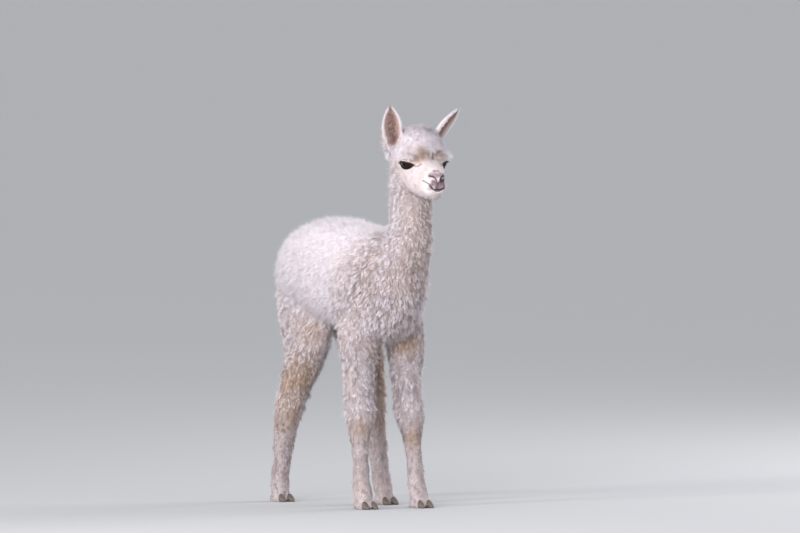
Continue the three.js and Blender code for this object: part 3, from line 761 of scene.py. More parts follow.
# Shapes the muzzle and the brows, cuts the nostrils, the mouth and the folds of the lids, and marks where
# they run.
def carveFace(face):
    plan = muzzleShape
    local = toHead(toPlan(meshPlaces(face.data)))
    ahead, chin = smoothStep(*plan["from"], local[:, 0]), smoothStep(*plan["chinFrom"], local[:, 2])
    local[:, 0] += ahead * (plan["forward"] - plan["chinBack"] * chin)
    setPlaces(face.data, toScene(fromHead(local)))
    tree, outward = treeOf(face), meshNormals(face.data) @ headTurn
    push = np.zeros(len(local))
    for (x, y, z), reach, lift in plan["swellings"]:
        for side in sides.values() if y else (1,):
            push += lift * towards(local, [x, side * y, z], reach)

    def laidOut(name, course, tree):
        count = plan["furrows"][kindOf(name)][-1]
        return np.array([facePoint(tree, y, z) for y, z in lineThrough(course, count)])

    def furrow(line, width, depth, edge):
        far = distanceTo(local, line)
        swell = edge * np.exp(-(((far - 2.1 * width) / (0.9 * width)) ** 2))
        return swell - depth * np.exp(-((far / width) ** 2))

    courses = faceCourses()
    for name, course in courses.items():
        push += furrow(laidOut(name, course, tree), *plan["furrows"][kindOf(name)][:3])
    for side in sides.values():
        place, along, up, look = eyeFrame(side)
        axes = np.array([along, up, look])
        u = np.linspace(-16, 15, 24)
        for share, height, bow, lift, *cut in eyeShape["folds"]:
            flat, v = eyeShape["radius"] + eyeShape["lid"] + lift, height + bow * (u / 15) ** 2
            depth = np.sqrt(np.maximum(16, flat**2 - (share * u) ** 2 - v**2))
            push += furrow(place + np.stack([share * u, v, depth], 1) @ axes, *cut)
        ends, cut = eyeShape["tear"]
        push += furrow(lineThrough(place + np.array(ends) @ axes, 16), *cut)
    setPlaces(face.data, toScene(fromHead(local + outward * push[:, None])))
    carved = treeOf(face)
    lines = {}
    for name, course in courses.items():
        line = laidOut(name, course, carved)
        for _ in range(4):
            line[1:-1] = (line[:-2] + line[1:-1] + line[2:]) / 3
        lines[name] = line
    return lines


# What the lids leave open, as a line round it in the eye's own flat.
def lidLine(count):
    plan = eyeShape
    half, above, below = plan["halfOpening"], plan["above"], plan["below"]
    upper = [[-half, 1], [-8, above * 1.25], [9, above * 1.25], [half, 0]]
    lower = [[half, 0], [9, -below * 1.2], [-10, -below * 1.4], [-half, 1]]
    t = np.linspace(0, 1, 40)[:, None]
    both = []
    for p0, p1, p2, p3 in (np.array(upper, float), np.array(lower, float)):
        both.append((1 - t) ** 3 * p0 + 3 * (1 - t) ** 2 * t * p1 + 3 * (1 - t) * t**2 * p2 + t**3 * p3)
    return lineThrough(np.vstack([both[0], both[1][1:]]), count)


# Joins other solids to a piece, or cuts them out of it.
def combine(piece, others, operation):
    for other in others:
        modifier = piece.modifiers.new("combine", "BOOLEAN")
        modifier.operation = operation
        modifier.solver = "MANIFOLD"
        modifier.object = other
    applyModifiers(piece)
    for other in others:
        bpy.data.objects.remove(other)


# A round tube through points, closed to itself.
def ringTube(points, radius, around=8):
    ahead = unit(np.roll(points, -1, 0) - np.roll(points, 1, 0))
    out = points - points.mean(0)
    out = unit(out - ahead * (out * ahead).sum(1)[:, None])
    angle = wholeTurn(around)[None, :, None]
    spokes = np.cos(angle) * out[:, None] + np.sin(angle) * np.cross(ahead, out)[:, None]
    steps = len(points)
    faces = []
    for i in range(steps):
        for j in range(around):
            a, b = i * around + j, i * around + (j + 1) % around
            c, d = ((i + 1) % steps) * around + (j + 1) % around, ((i + 1) % steps) * around + j
            faces.append([a, b, c, d])
    return (points[:, None] + radius * spokes).reshape(-1, 3), faces


# Opens the lids, and gives each opening a rounded rim.
def openEyes(face):
    tree = treeOf(face)
    radius, sunk = eyeShape["rim"]
    cutters, rims, rimLines = [], [], {}
    for name, side in sides.items():
        place, along, up, look = eyeFrame(side)
        line = lidLine(56)[:-1]
        flat = place + np.outer(line[:, 0], along) + np.outer(line[:, 1], up)
        rings = np.array([flat + look * depth for depth in eyeShape["opened"]])
        cutters.append(headObject("opening", closedTube(rings)))
        hollow = eyeShape["radius"] + eyeShape["play"]
        cutters.append(headObject("globe", ball(place, [hollow] * 3, 64, 48)))
        starts, way = toScene(fromHead(flat + look * eyeShape["clear"])), headTurn @ -look
        edge = toPlan([tree.ray_cast(Vector(start), Vector(way))[0] for start in starts])
        edge = edge * 0.5 + (np.roll(edge, 1, 0) + np.roll(edge, -1, 0)) * 0.25
        rimLines[name] = edge
        rims.append(ringTube(edge + way * sunk, radius))
    for cutter in cutters:
        fixNormals(cutter.data)
    combine(face, cutters, "DIFFERENCE")
    places, faces = joined(rims)
    rim = meshObject("lidRims", toScene(places), faces)
    fixNormals(rim.data)
    return rim, rimLines


faceLines = carveFace(faceSkin)
lidRims, rimLines = openEyes(faceSkin)
combine(faceSkin, [lidRims], "UNION")
combine(skin, [faceSkin], "UNION")
soles = 0.4 * mm  # how high the soles stay over the floor
setPlaces(skin.data, np.maximum(meshPlaces(skin.data), [-np.inf, -np.inf, soles]))
shadeSmooth(skin.data)
print("skin:", len(skin.data.polygons), "faces")


# Unwraps the skin by its own shape. The coat's tufts are laid on the same map.
def unwrap(piece):
    bpy.context.view_layer.objects.active = piece
    piece.select_set(True)
    piece.data.uv_layers.new(name="OFBake")
    bpy.ops.object.mode_set(mode="EDIT")
    bpy.ops.mesh.select_all(action="SELECT")
    bpy.ops.uv.smart_project(angle_limit=math.radians(70), island_margin=0.0005)
    bpy.ops.object.mode_set(mode="OBJECT")
    piece.select_set(False)


unwrap(skin)
print("skin unwrapped")


# How the coat grows at each part, in mm and degrees: the tufts' length and width, how far they stand up,
# their spacing, how wide the locks are that they lie in, how far a lock draws its tips together, its curl,
# how much painted shade darkens the gaps between the locks, and the share of tufts that stray.
coatKeys = ["length", "width", "lift", "spacing", "lock", "draw", "curl", "gapShade", "stray"]
coatPlan = {
    "back": [11.5, 1.0, 36, 1.95, 4.5, 0.25, 0.5, 0.35, 0.3],
    "trunk": [14.5, 1.0, 44, 2.0, 5.6, 0.6, 1.2, 1.0, 0.1],
    "neck": [11.5, 0.95, 43, 2.0, 4.6, 0.62, 1.1, 0.9, 0.05],
    "thigh": [10.3, 1.0, 34, 1.95, 4.8, 0.56, 0.9, 0.9, 0.08],
    "shank": [7.2, 0.95, 23, 1.6, 4.2, 0.5, 0.5, 1.0, 0.03],
    "foot": [6.3, 0.9, 20, 1.65, 4.2, 0.55, 0.4, 0.9, 0.01],
    "tail": [18, 1.15, 34, 1.9, 5.5, 0.45, 1.2, 0.6, 0.15],
    "ruff": [22, 0.95, 62, 1.35, 4.0, 0.2, 1.0, 0.05, 0.4],
    "crown": [9.0, 0.75, 37, 1.35, 3.4, 0.3, 0.35, 0.35, 0.5],
    "cheek": [6.4, 0.75, 34, 1.5, 3.8, 0.5, 0.4, 0.65, 0.1],
    "face": [3.8, 0.6, 26, 1.35, 3.6, 0.45, 0.15, 0.55, 0.0],
    "muzzle": [1.8, 0.5, 14, 1.4, 2.5, 0.2, 0.0, 0.3, 0.0],
    "earBack": [4.0, 0.7, 18, 1.45, 3.0, 0.3, 0.2, 0.3, 0.0],
    "earCup": [3.6, 0.4, 24, 3.2, 3.0, 0.3, 0.3, 0.4, 0.0],
    "bare": [0.0, 0.5, 10, 4.0, 2.5, 0.0, 0.0, 0.2, 0.0],
}
legWoolEnds = {"front": (150, 215), "hind": (140, 230)}  # where the long wool of a leg runs out, in height
# Which way the coat lies, in the plan's axes, and the places that it lies away from on the head.
coatWays = {
    "trunk": [-0.75, 0, -0.75],
    "chest": [-0.25, 0, -1.0],
    "neck": [-0.15, 0, -1.0],
    "tail": [-0.1, 0, -1.0],
    "leg": [-0.12, 0, -1.0],
    "nose": [97.0, 0, -52],
    "nape": [-48.0, 0, 52],
}
# Where the head's wool is long: share, middle and reach.
ruffSpots = {
    "sides": [[0.95, [-40, 52, 20], [14, 18, 26]], [0.45, [30, 52, 8], [12, 10, 18]]],
    "chin": [[0.25, [76, 0, -94], [14, 22, 8]]],
}
# How strongly painted shade darkens the coat in streaks, at each part.
streakShadeShares = {
    "trunk": 0.5,
    "neck": 0.5,
    "thigh": 0.6,
    "shank": 0.85,
    "foot": 0.85,
    "cheek": 0.3,
    "face": 0.2,
    "back": 0.2,
}


def mixed(weights, name, share):
    for other in weights:
        weights[other] = weights[other] * (1 - share)
    weights[name] = weights.get(name, 0) + share


# The face's furrows: how wide and how strong their dark is, and how far the skin beside them is bare.
lineMarks = {
    "mouth": [1.9, 1.0, 3.0],
    "underNose": [1.2, 0.55, 2.0],
    "philtrum": [1.0, 0.5, 1.8],
    "nostril": [1.9, 1.0, 2.6],
}
# How far from a lid's rim the skin is bare and dark, as begins and whole, and what counts as inside the lids:
# half of its length, its depth, and how far from the eye's middle it reaches.
lidMarks = {"bare": [3.2, 1.9], "dark": [2.5, 1.5], "inside": [17, 13, 15.2]}
# Its other marks: kind, half-width, strength, whether on both sides, and the places that they run through.
faceStrokes = [
    ["dark", 1.5, 0.95, False, [[84, -5, -37]]],
    # These four strokes lie on the muzzle's left, its far side, alone: painted shade under the nose pad and
    # round the far nostril, and dark skin of the lower lip with painted shade on its far side.
    ["dark", 5.5, 0.93, False, [[92, 4, -56], [91, 9, -53], [86, 15, -50]]],
    ["dark", 3.3, 1.0, False, [[94, -7, -74], [95, 3, -75], [92, 10, -73], [89, 14, -69]]],
    ["dark", 5.0, 0.5, False, [[94, -5, -65], [93, 4, -62], [91, 11, -62]]],
    ["dark", 6.0, 0.4, False, [[90, 4, -46], [82, 17, -45]]],
    ["dark", 2.2, 0.9, True, [[6, 51, -19], [13, 50, -20], [20, 50, -21]]],
    ["brown", 2.6, 0.95, True, [[41, 38, -21], [44, 35, -22], [46, 33, -22]]],
    ["brown", 1.6, 0.75, True, [[46, 33, -25], [52, 28, -25], [55, 22, -20]]],
    # Painted shade in the crease above the upper lid.
    ["dark", 1.3, 0.45, True, [[16, 48, -9], [28, 47, -10], [39, 43, -10]]],
    ["dark", 1.2, 0.4, True, [[43, 36, -32], [39, 38, -38]]],
    ["brown", 2.0, 0.9, False, [[90, -13, -62]]],
    ["brown", 2.0, 0.4, True, [[77, 20, -71], [84, 15, -72], [86, 9, -75]]],
    # Painted shadow under the jaw, where it meets the neck.
    ["dark", 1.8, 0.55, True, [[5, 31, -94], [13, 19, -98], [15, 0, -101]]],
    ["brown", 2.4, 0.75, False, [[52, 12, -1], [47, 21, 5], [43, 28, 9]]],
    ["brown", 2.8, 0.85, False, [[51, 6, 4], [54, 5, -2], [56, 4, -9]]],
    ["brown", 2.4, 0.5, False, [[45, -13, 9], [50, -15, 2], [54, -21, -6]]],
    ["brown", 11.0, 0.36, False, [[46, -12, 6], [50, -20, -2], [45, -33, -8]]],
    ["brown", 9.0, 0.14, False, [[46, 20, 4], [44, 32, -6]]],
    ["pink", 7.0, 0.9, True, [[91, 4, -44], [84, 13, -42]]],
    ["pink", 6.0, 0.8, True, [[84, 4, -35]]],
    ["pink", 7.0, 1.0, True, [[92, 6, -56], [89, 10, -60], [86, 13, -68]]],
    ["pink", 6.5, 0.95, False, [[94, -5, -61], [94, 4, -61]]],
    ["pink", 5.0, 0.95, False, [[94, -5, -68], [94, 4, -68], [91, 11, -66]]],
]


# How far each vertex belongs to the trunk, the neck, the tail, each leg and the head.
def formShares(places, onHead):
    forms = {"trunk": trunk, "neck": neck, "tail": tail, **legs}
    reaches = {name: form.reach(places) for name, form in forms.items()}
    reaches["head"] = head.reach(onHead) - 0.06
    for name, leg in legPlan.items():
        feet = [toeForm(footPlace(leg), s).reach(places) for s in (-1, 1)]
        reaches[name] = np.minimum(reaches[name], np.minimum(*feet))
    stack = np.exp(-14 * np.array(list(reaches.values())))
    return dict(zip(reaches, stack / stack.sum(0)))


# Where each kind of coat begins and is whole: on the body in the plan's measures, on the head in its own.
coatEnds = {
    "chest": [20, 150],
    "locks": [60, 170],
    "locksLean": [0.3, 490],  # how much further ahead the locks begin for each mm over this height
    "belly": [480, 380],
    "bellyLocks": 0.3,  # how far the belly is in locks
    "foot": [52, 26],
    "crownUp": [-15, -3],
    "crownAhead": [56, 66],
    "nape": [6, -24],
    "cheek": [34, 4],
    "jaw": [-78, -90],
    "chin": [-84, -92],
    "chinShare": 0.9,
    "muzzle": [62, 78],
}


# How far each vertex belongs to each kind of coat, and which way the coat lies there.
def coatShares(places, onHead):
    ends = coatEnds

    def awayFrom(centre):
        return unit(onHead - np.array(centre)) @ headTurn.T

    shares = formShares(places, onHead)
    flow = {name: np.array(coatWays.get(name, coatWays["leg"])) for name in shares}
    onChest = smoothStep(*ends["chest"], places[:, 0])[:, None]
    flow["trunk"] = flow["trunk"] * (1 - onChest) + np.array(coatWays["chest"]) * onChest
    flow["head"] = awayFrom(coatWays["nose"])
    lie = sum(flow[name] * share[:, None] for name, share in shares.items())

    # the wool is smoother on the back and rump, and lies in open locks on the shoulder and chest
    z = places[:, 2]
    lean, level = ends["locksLean"]
    inLocks = smoothStep(*ends["locks"], places[:, 0] - lean * (z - level))
    inLocks = np.maximum(inLocks, ends["bellyLocks"] * smoothStep(*ends["belly"], z))
    weights = {"back": shares["trunk"] * (1 - inLocks), "trunk": shares["trunk"] * inLocks}
    weights.update({"neck": shares["neck"], "tail": shares["tail"]})
    for name in legPlan:
        low, high = legWoolEnds["front" if name.startswith("front") else "hind"]
        woolly, foot = smoothStep(low, high, z), smoothStep(*ends["foot"], z)
        for part, share in (("thigh", woolly), ("foot", foot), ("shank", (1 - woolly) * (1 - foot))):
            weights[part] = weights.get(part, 0) + shares[name] * share

    x, y, h = onHead.T
    crown = smoothStep(*ends["crownUp"], h) * (1 - smoothStep(*ends["crownAhead"], x))
    lie = lie + (awayFrom(coatWays["nape"]) - flow["head"]) * (shares["head"] * crown)[:, None]
    behind = smoothStep(*ends["nape"], x) * (1 - crown)
    cheek = np.maximum(smoothStep(*ends["cheek"], x), smoothStep(*ends["jaw"], h))
    cheek = cheek * (1 - crown) * (1 - behind)
    cheek = np.maximum(cheek, smoothStep(*ends["chin"], h) * ends["chinShare"])
    muzzle = smoothStep(*ends["muzzle"], x) * (1 - crown) * (1 - cheek)
    parts = {"crown": crown, "neck": behind, "cheek": cheek, "muzzle": muzzle}
    parts["face"] = np.maximum(0, 1 - sum(parts.values()))
    total = sum(parts.values())
    for part, share in parts.items():
        weights[part] = weights.get(part, 0) + shares["head"] * share / total
    return weights, lie


# Where an ear's coat begins and is whole: along its length, off its middle as shares of its half-width and
# mm past them, at its rims, and inside its cup by the way that the skin faces.
earEnds = {
    "along": [0.05, 0.2],
    "off": [[1.3, 4], [1.1, 2]],
    "rim": [0.6, 0.85],
    "rimInCup": 0.8,  # how far the rim leaves the cup
    "cup": [0.1, 0.5],
    "deep": [0.15, 0.75],
    "deepFade": 0.55,  # how far the dark of the cup fades to its rims
}


# The ears take over from the head along their own length.
def earShares(onHead, facing, weights, lie):
    ends = earEnds
    cups, rims = np.zeros(len(onHead)), np.zeros(len(onHead))
    for pose in earShape["poses"].values():
        root, length, along, front, across = earAxes(pose)
        offset = onHead - root
        share = offset @ along / length
        w = earShape["halfWidth"] * earAt(share, 1)
        aside = np.abs(offset @ across) / np.maximum(1, w)
        low, high = (share * w + past for share, past in ends["off"])
        near = smoothStep(low, high, sizes(offset - np.outer(share * length, along)))
        onEar = smoothStep(*ends["along"], share) * near
        rim = smoothStep(*ends["rim"], aside) * onEar
        cup = onEar * smoothStep(*ends["cup"], facing @ front) * (1 - ends["rimInCup"] * rim)
        mixed(weights, "earBack", onEar * (1 - cup))
        mixed(weights, "earCup", cup)
        lie = lie * (1 - onEar[:, None]) + (headTurn @ along) * onEar[:, None]
        deep = 1 - ends["deepFade"] * smoothStep(*ends["deep"], aside)
        cups, rims = np.maximum(cups, cup * deep), np.maximum(rims, rim)
    return cups, rims, lie


# The face's colours, and where its skin is bare: inside the lids, the nostrils and the mouth.
def faceTones(onHead):
    dark, bare = np.zeros(len(onHead)), np.zeros(len(onHead))
    for name, line in faceLines.items():
        width, strength, bald = lineMarks[kindOf(name)]
        far = distanceTo(onHead, line)
        dark = np.maximum(dark, strength * np.exp(-((far / width) ** 3)))
        bare = np.maximum(bare, smoothStep(bald + 1, bald, far))
    for name, side in sides.items():
        place, along, up, look = eyeFrame(side)
        offset = onHead - place
        u, depth = offset @ along, offset @ look
        nearLid = distanceTo(onHead, toHead(rimLines[name]))
        half, deepest, reach = lidMarks["inside"]
        inside = (np.abs(u) < half) & (depth < deepest) & (depth > 0) & (sizes(offset) < reach)
        bare = np.maximum(bare, np.maximum(smoothStep(*lidMarks["bare"], nearLid), inside))
        dark = np.maximum(dark, np.maximum(smoothStep(*lidMarks["dark"], nearLid), inside))
    tones = {"pink": np.zeros(len(onHead)), "brown": np.zeros(len(onHead)), "dark": dark}
    tree = treeOf(skin)
    for kind, width, strength, mirrored, line in faceStrokes:
        for side in (1, -1) if mirrored else (1,):
            course = onSkin(tree, [[x, side * y, z] for x, y, z in line])
            far = distanceTo(onHead, lineThrough(course, 12) if len(course) > 1 else course)
            stroke = strength * np.exp(-((far / width) ** 4))
            tones[kind] = np.maximum(tones[kind], stroke)
            if kind in ("pink", "dark"):
                bare = np.maximum(bare, smoothStep(0.25, 0.6, stroke))
    return tones, bare


# What the coat and the colours are at each vertex of the skin.
def readSkin(mesh):
    points, normals = toPlan(meshPlaces(mesh)), meshNormals(mesh)
    local = toHead(points)
    weights, lie = coatShares(points, local)
    cups, rims, lie = earShares(local, normals @ headTurn, weights, lie)
    for side, group in ((-1, "sides"), (1, "sides"), (1, "chin")):
        for share, (x, y, z), reach in ruffSpots[group]:
            mixed(weights, "ruff", share * towards(local, [x, side * y, z], reach))
    tones, bare = faceTones(local)
    soles = smoothStep(2.5, 1.0, points[:, 2])
    mixed(weights, "bare", np.maximum(bare, soles))
    total = sum(weights.values())
    weights = {part: share / total for part, share in weights.items()}
    field = {}
    for i, key in enumerate(coatKeys):
        field[key] = sum(share * coatPlan[part][i] for part, share in weights.items())
    lie = eased(lie, meshEdges(mesh), 10)
    lie = unit(lie - normals * (lie * normals).sum(1)[:, None])
    # painted shade in streaks, by part
    streakShade = sum(share * weights[part] for part, share in streakShadeShares.items())
    marks = {**tones, "cup": cups, "rim": rims, "gapShade": field["gapShade"], "streakShade": streakShade}
    return points, local, normals, lie, field, marks, weights


# Patches of golden tan, each round a place with its spread and strength. The two under the chest are tan and
# painted shade.
tanAndShadeSpots = {
    "body": [
        [[-25, -84, 372], [36, 34, 28], 0.55],
        [[-25, 84, 372], [36, 34, 28], 0.4],
        [[164, -70, 177], [24, 28, 24], 0.75],
        [[176, 56, 151], [24, 28, 22], 0.8],
        # Under the chest between the forelegs: tan and painted shade.
        [[168, 36, 352], [34, 38, 24], 0.9],
        [[160, -30, 348], [34, 34, 20], 0.6],
        [[188, -56, 542], [20, 16, 9], 0.4],
        [[205, -50, 528], [10, 14, 10], 0.35],
    ],
    "face": [
        [[48, -14, 2], [12, 14, 9], 0.85],
        [[45, -20, 9], [12, 14, 8], 0.6],
        [[54, -18, -6], [11, 13, 10], 0.95],
        [[50, -28, -8], [12, 13, 9], 0.85],
        [[42, -38, -12], [11, 10, 8], 0.6],
        [[47, -32, -10], [11, 10, 8], 0.95],
        [[52, -25, -15], [11, 10, 8], 0.6],
        [[50, 24, -6], [12, 12, 11], 0.75],
        [[30, -40, 8], [20, 14, 14], 0.3],
        [[50, -34, -52], [14, 9, 14], 0.3],
        [[66, -24, -44], [12, 8, 14], 0.5],
        [[68, -17, -33], [12, 6, 9], 0.6],
        [[49, 15, 0], [7, 9, 8], 0.75],
        [[47, 29, -12], [8, 8, 7], 0.6],
        [[4, -50, -24], [8, 9, 16], 0.4],
        [[4, 50, -24], [8, 9, 16], 0.4],
        [[56, 26, -46], [12, 9, 16], 0.3],
    ],
}
# Its wider bands: on the hind legs each a height with its spread and share, and down the front of the neck
# where they begin and are whole, at the foot and at the top.
tanBands = {
    "hindLegs": 0.85,
    "heights": [[268, 62, 1.0], [178, 34, 0.6]],
    "ahead": [0.74, 0.67],
    "face": 0.2,
    "neck": 0.3,
    "neckEnds": [[430, 520], [720, 660]],
}


def shareOf(*parts):
    return sum(weights[part] for part in parts)


def tanOf():
    tan = np.zeros(len(points))
    for place, where in ((points, "body"), (local, "face")):
        for centre, radii, strength in tanAndShadeSpots[where]:
            tan = np.maximum(tan, strength * towards(place, centre, radii))
    plan, z = tanBands, points[:, 2]
    for name in ("hindRight", "hindLeft"):
        x, y = plan["ahead"]
        ahead = smoothStep(0.0, 0.85, normals @ np.array([x, legPlan[name]["side"] * y, 0]))
        near = smoothStep(1.35, 1.1, legs[name].reach(points))
        band = sum(share * np.exp(-(((z - high) / spread) ** 2)) for high, spread, share in plan["heights"])
        tan = np.maximum(tan, plan["hindLegs"] * ahead * near * np.minimum(1, band))
    tan = np.maximum(tan, plan["face"] * shareOf("face", "cheek", "muzzle"))
    foot, top = plan["neckEnds"]
    neckFront = smoothStep(0.2, 0.95, normals[:, 0]) * smoothStep(*foot, z) * smoothStep(*top, z)
    return np.maximum(tan, plan["neck"] * neckFront * shareOf("neck", "trunk", "back"))


points, local, normals, lie, field, marks, weights = readSkin(skin.data)
marks["tan"] = np.maximum(tanOf(), 0.3 * marks.pop("rim"))
for name, values in marks.items():
    setAttribute(skin.data, name, values)
print("coat and markings mapped on the skin")


def meshFromArrays(name, places, triangles, patches, facings, values):
    mesh = bpy.data.meshes.new(name)
    mesh.vertices.add(len(places))
    mesh.vertices.foreach_set("co", places.astype(np.float32).ravel())
    mesh.loops.add(3 * len(triangles))
    mesh.loops.foreach_set("vertex_index", triangles.astype(np.int32).ravel())
    mesh.polygons.add(len(triangles))
    mesh.polygons.foreach_set("loop_start", np.arange(len(triangles), dtype=np.int32) * 3)
    mesh.polygons.foreach_set("use_smooth", np.ones(len(triangles), bool))
    mesh.update(calc_edges=True)
    uv = mesh.uv_layers.new(name="OFBake")
    uv.data.foreach_set("uv", patches[triangles.ravel()].astype(np.float32).ravel())
    for key, value in values.items():
        setAttribute(mesh, key, value)
    mesh.normals_split_custom_set_from_vertices(facings)
    return linked(name, mesh)


coatGrain = {
    "seed": 20,
    "root": 1.0,  # how far a tuft starts under the skin, in mm
    "arch": 0.10,  # how far it bows outwards, as a share of its length
    "rings": 2,  # rings of three points along a tuft, before its tip
    # the pieces whose tufts have just one
    "oneRing": ["coatFace", "coatShanks", "coatRumpRight", "coatRumpLeft"],
    "fine": 9.4,  # a tuft under this length is of the fine coat, on the legs
    "short": 6.6,  # and under this one of the short coat, on the face
    "legTop": 450,  # the neck's piece begins and the legs' end at this height
    "foreFrom": 60,  # what belongs to the forelegs is ahead of this
    "strayGrow": 1.6,  # how much longer a stray tuft is
    "strayLift": 14,  # how many degrees further up it stands
    "strayDraw": 0.1,  # how far it is drawn to its lock
    "strayWidth": 0.55,  # its width, as a share of another's
    "seam": [0.45, 1.1],  # where the seam between tresses begins and is whole, in half-widths of a tress
    "turns": 0.8,  # waves of crimp along a tuft
    "tress": 2.3,  # how many locks wide the tresses are that the locks gather in
    "gather": 0.8,  # how far they gather, as a share of how far a lock draws together
    "soften": 0.5,  # how far a tuft is shaded as the form under it, and not as its own three sides
    "patch": 0.003,  # size of a tuft's place on the map
    "thickness": 0.55,  # of a tuft, as a share of its width
}


# How much tufts differ by lock, by tress and one by one.
coatSpread = {
    "length": [0.08, 0.12, 0.10],
    "lift": [4, 5, 5],
    "turn": [13, 18, 11],
    "phase": [1.2, 2.0, 0.35],
    "tint": [0.4, 0.4, 0.35],
    "width": 0.12,
}


# Scatters roots over the skin's triangles, closer where the coat is finer. What it gives carries values
# of the skin to the roots, and their places on the map.
def scatterRoots(mesh, random):
    mesh.calc_loop_triangles()
    corners = readArray(mesh.loop_triangles, "vertices", 3, int)
    loops = readArray(mesh.loop_triangles, "loops", 3, int)
    layout = readArray(mesh.uv_layers["OFBake"].data, "uv", 2)[loops]
    a, b, c = (points[corners[:, k]] for k in range(3))
    area = sizes(np.cross(b - a, c - a)) / 2
    wanted = area * (field["length"] > 0.8)[corners].all(1) / field["spacing"][corners].mean(1) ** 2
    total = np.cumsum(wanted)
    amount = int(total[-1])
    picks = (np.arange(amount) + random.random(amount)) * total[-1] / amount
    where = np.minimum(np.searchsorted(total, picks), len(corners) - 1)
    s, t = random.random(amount), random.random(amount)
    over = s + t > 1
    s, t = np.where(over, 1 - s, s), np.where(over, 1 - t, t)
    share = np.stack([1 - s - t, s, t], 1)

    def carried(values):
        picked = values[corners[where]]
        return (picked * (share[:, :, None] if picked.ndim == 3 else share)).sum(1)

    return carried, (layout[where] * share[:, :, None]).sum(1)


# Lays the tufts out: where each starts, which way and how far it reaches, and its colours.
def layTufts():
    grain = coatGrain
    random = np.random.default_rng(grain["seed"])
    carried, patches = scatterRoots(skin.data, random)
    roots, normal, way = carried(points), unit(carried(normals)), carried(lie)
    here = {k: carried(v) for k, v in field.items()}
    tone = {k: carried(v) for k, v in marks.items()}
    onTrunk = carried(shareOf("trunk", "back"))
    onHead = carried(shareOf("ruff", "crown", "cheek", "face", "muzzle", "earBack", "earCup"))
    count = len(roots)
    print("roots:", count)

    # some of the roots lead a lock, and the others join the lock that starts nearest
    def gathered(among, share):
        leads = among[random.random(len(among)) < share[among]]
        tree = KDTree(len(leads))
        for k, lead in enumerate(leads):
            tree.insert(roots[lead], k)
        tree.balance()
        return leads, np.array([tree.find(root)[1] for root in roots])

    leads, lock = gathered(np.arange(count), (here["spacing"] / here["lock"]) ** 2)
    tressLeads, tress = gathered(leads, np.full(count, grain["tress"] ** -2))
    lead, tressLead = leads[lock], tressLeads[tress]

    def spread(key):
        byLock, byTress, byTuft = coatSpread[key]
        ofLock = random.normal(0, byLock, len(leads))[lock]
        ofTress = random.normal(0, byTress, len(tressLeads))[tress[lead]]
        return ofLock + ofTress + random.normal(0, byTuft, count)

    length = here["length"] * (1 + spread("length"))
    lift = np.radians(here["lift"] + spread("lift"))
    turn = np.radians(spread("turn"))
    strays = random.random(count) < here["stray"]
    length = np.where(strays, length * grain["strayGrow"], length)
    lift = np.where(strays, lift + math.radians(grain["strayLift"]), lift)
    draw = np.where(strays, grain["strayDraw"], here["draw"])[:, None]
    heading = way * np.cos(turn)[:, None] + np.cross(normal, way) * np.sin(turn)[:, None]
    reach = heading * np.cos(lift)[:, None] + normal * np.sin(lift)[:, None]
    tips = roots + reach * length[:, None]
    tips += (tips[tressLead] - tips) * draw * grain["gather"]
    tips += (tips[lead] - tips) * draw
    radius = here["lock"] * grain["tress"] / 2
    tone["seam"] = smoothStep(*grain["seam"], sizes(roots - roots[tressLead]) / radius)
    roots = roots - normal * grain["root"]
    along = tips - roots
    across = unit(np.cross(normal, along))
    phase = spread("phase")
    width = here["width"] * (1 + random.normal(0, coatSpread["width"], count))
    width = width * np.where(strays, grain["strayWidth"], 1)
    tone["tint"] = spread("tint")
    tufts = {
        "roots": roots,
        "normal": normal,
        "along": along,
        "across": across,
        "out": unit(np.cross(along, across)),
        "patches": patches,
        "arch": grain["arch"] * sizes(along)[:, None],
        "phase": phase[:, None],
        "width": width[:, None],
        "curl": here["curl"][:, None],
    }
    return tufts, tone, here["length"], onTrunk, onHead


# The tufts of each piece of the coat.
def coatGroups(roots, length, trunkShare, headShare):
    grain = coatGrain
    onHead, onTrunk = headShare >= 0.5, trunkShare >= 0.5
    fine, short = length < grain["fine"], length < grain["short"]
    coarse = ~fine & ~onHead
    x, y, z = roots.T
    high, ahead = z > grain["legTop"], x > grain["foreFrom"]
    groups = {
        "coatNeck": coarse & ~onTrunk & high,
        "coatCrown": onHead & ~short,
        "coatFace": onHead & short,
        "coatShanks": fine & ~onHead,
    }
    for name, half in {"Right": coarse & (y < 0), "Left": coarse & (y >= 0)}.items():
        groups["coatRump" + name] = half & onTrunk & (x < 0)
        groups["coatShoulder" + name] = half & onTrunk & (x >= 0)
        groups["coatForeleg" + name] = half & ~onTrunk & ~high & ahead
        groups["coatHindleg" + name] = half & ~onTrunk & ~high & ~ahead
    return groups


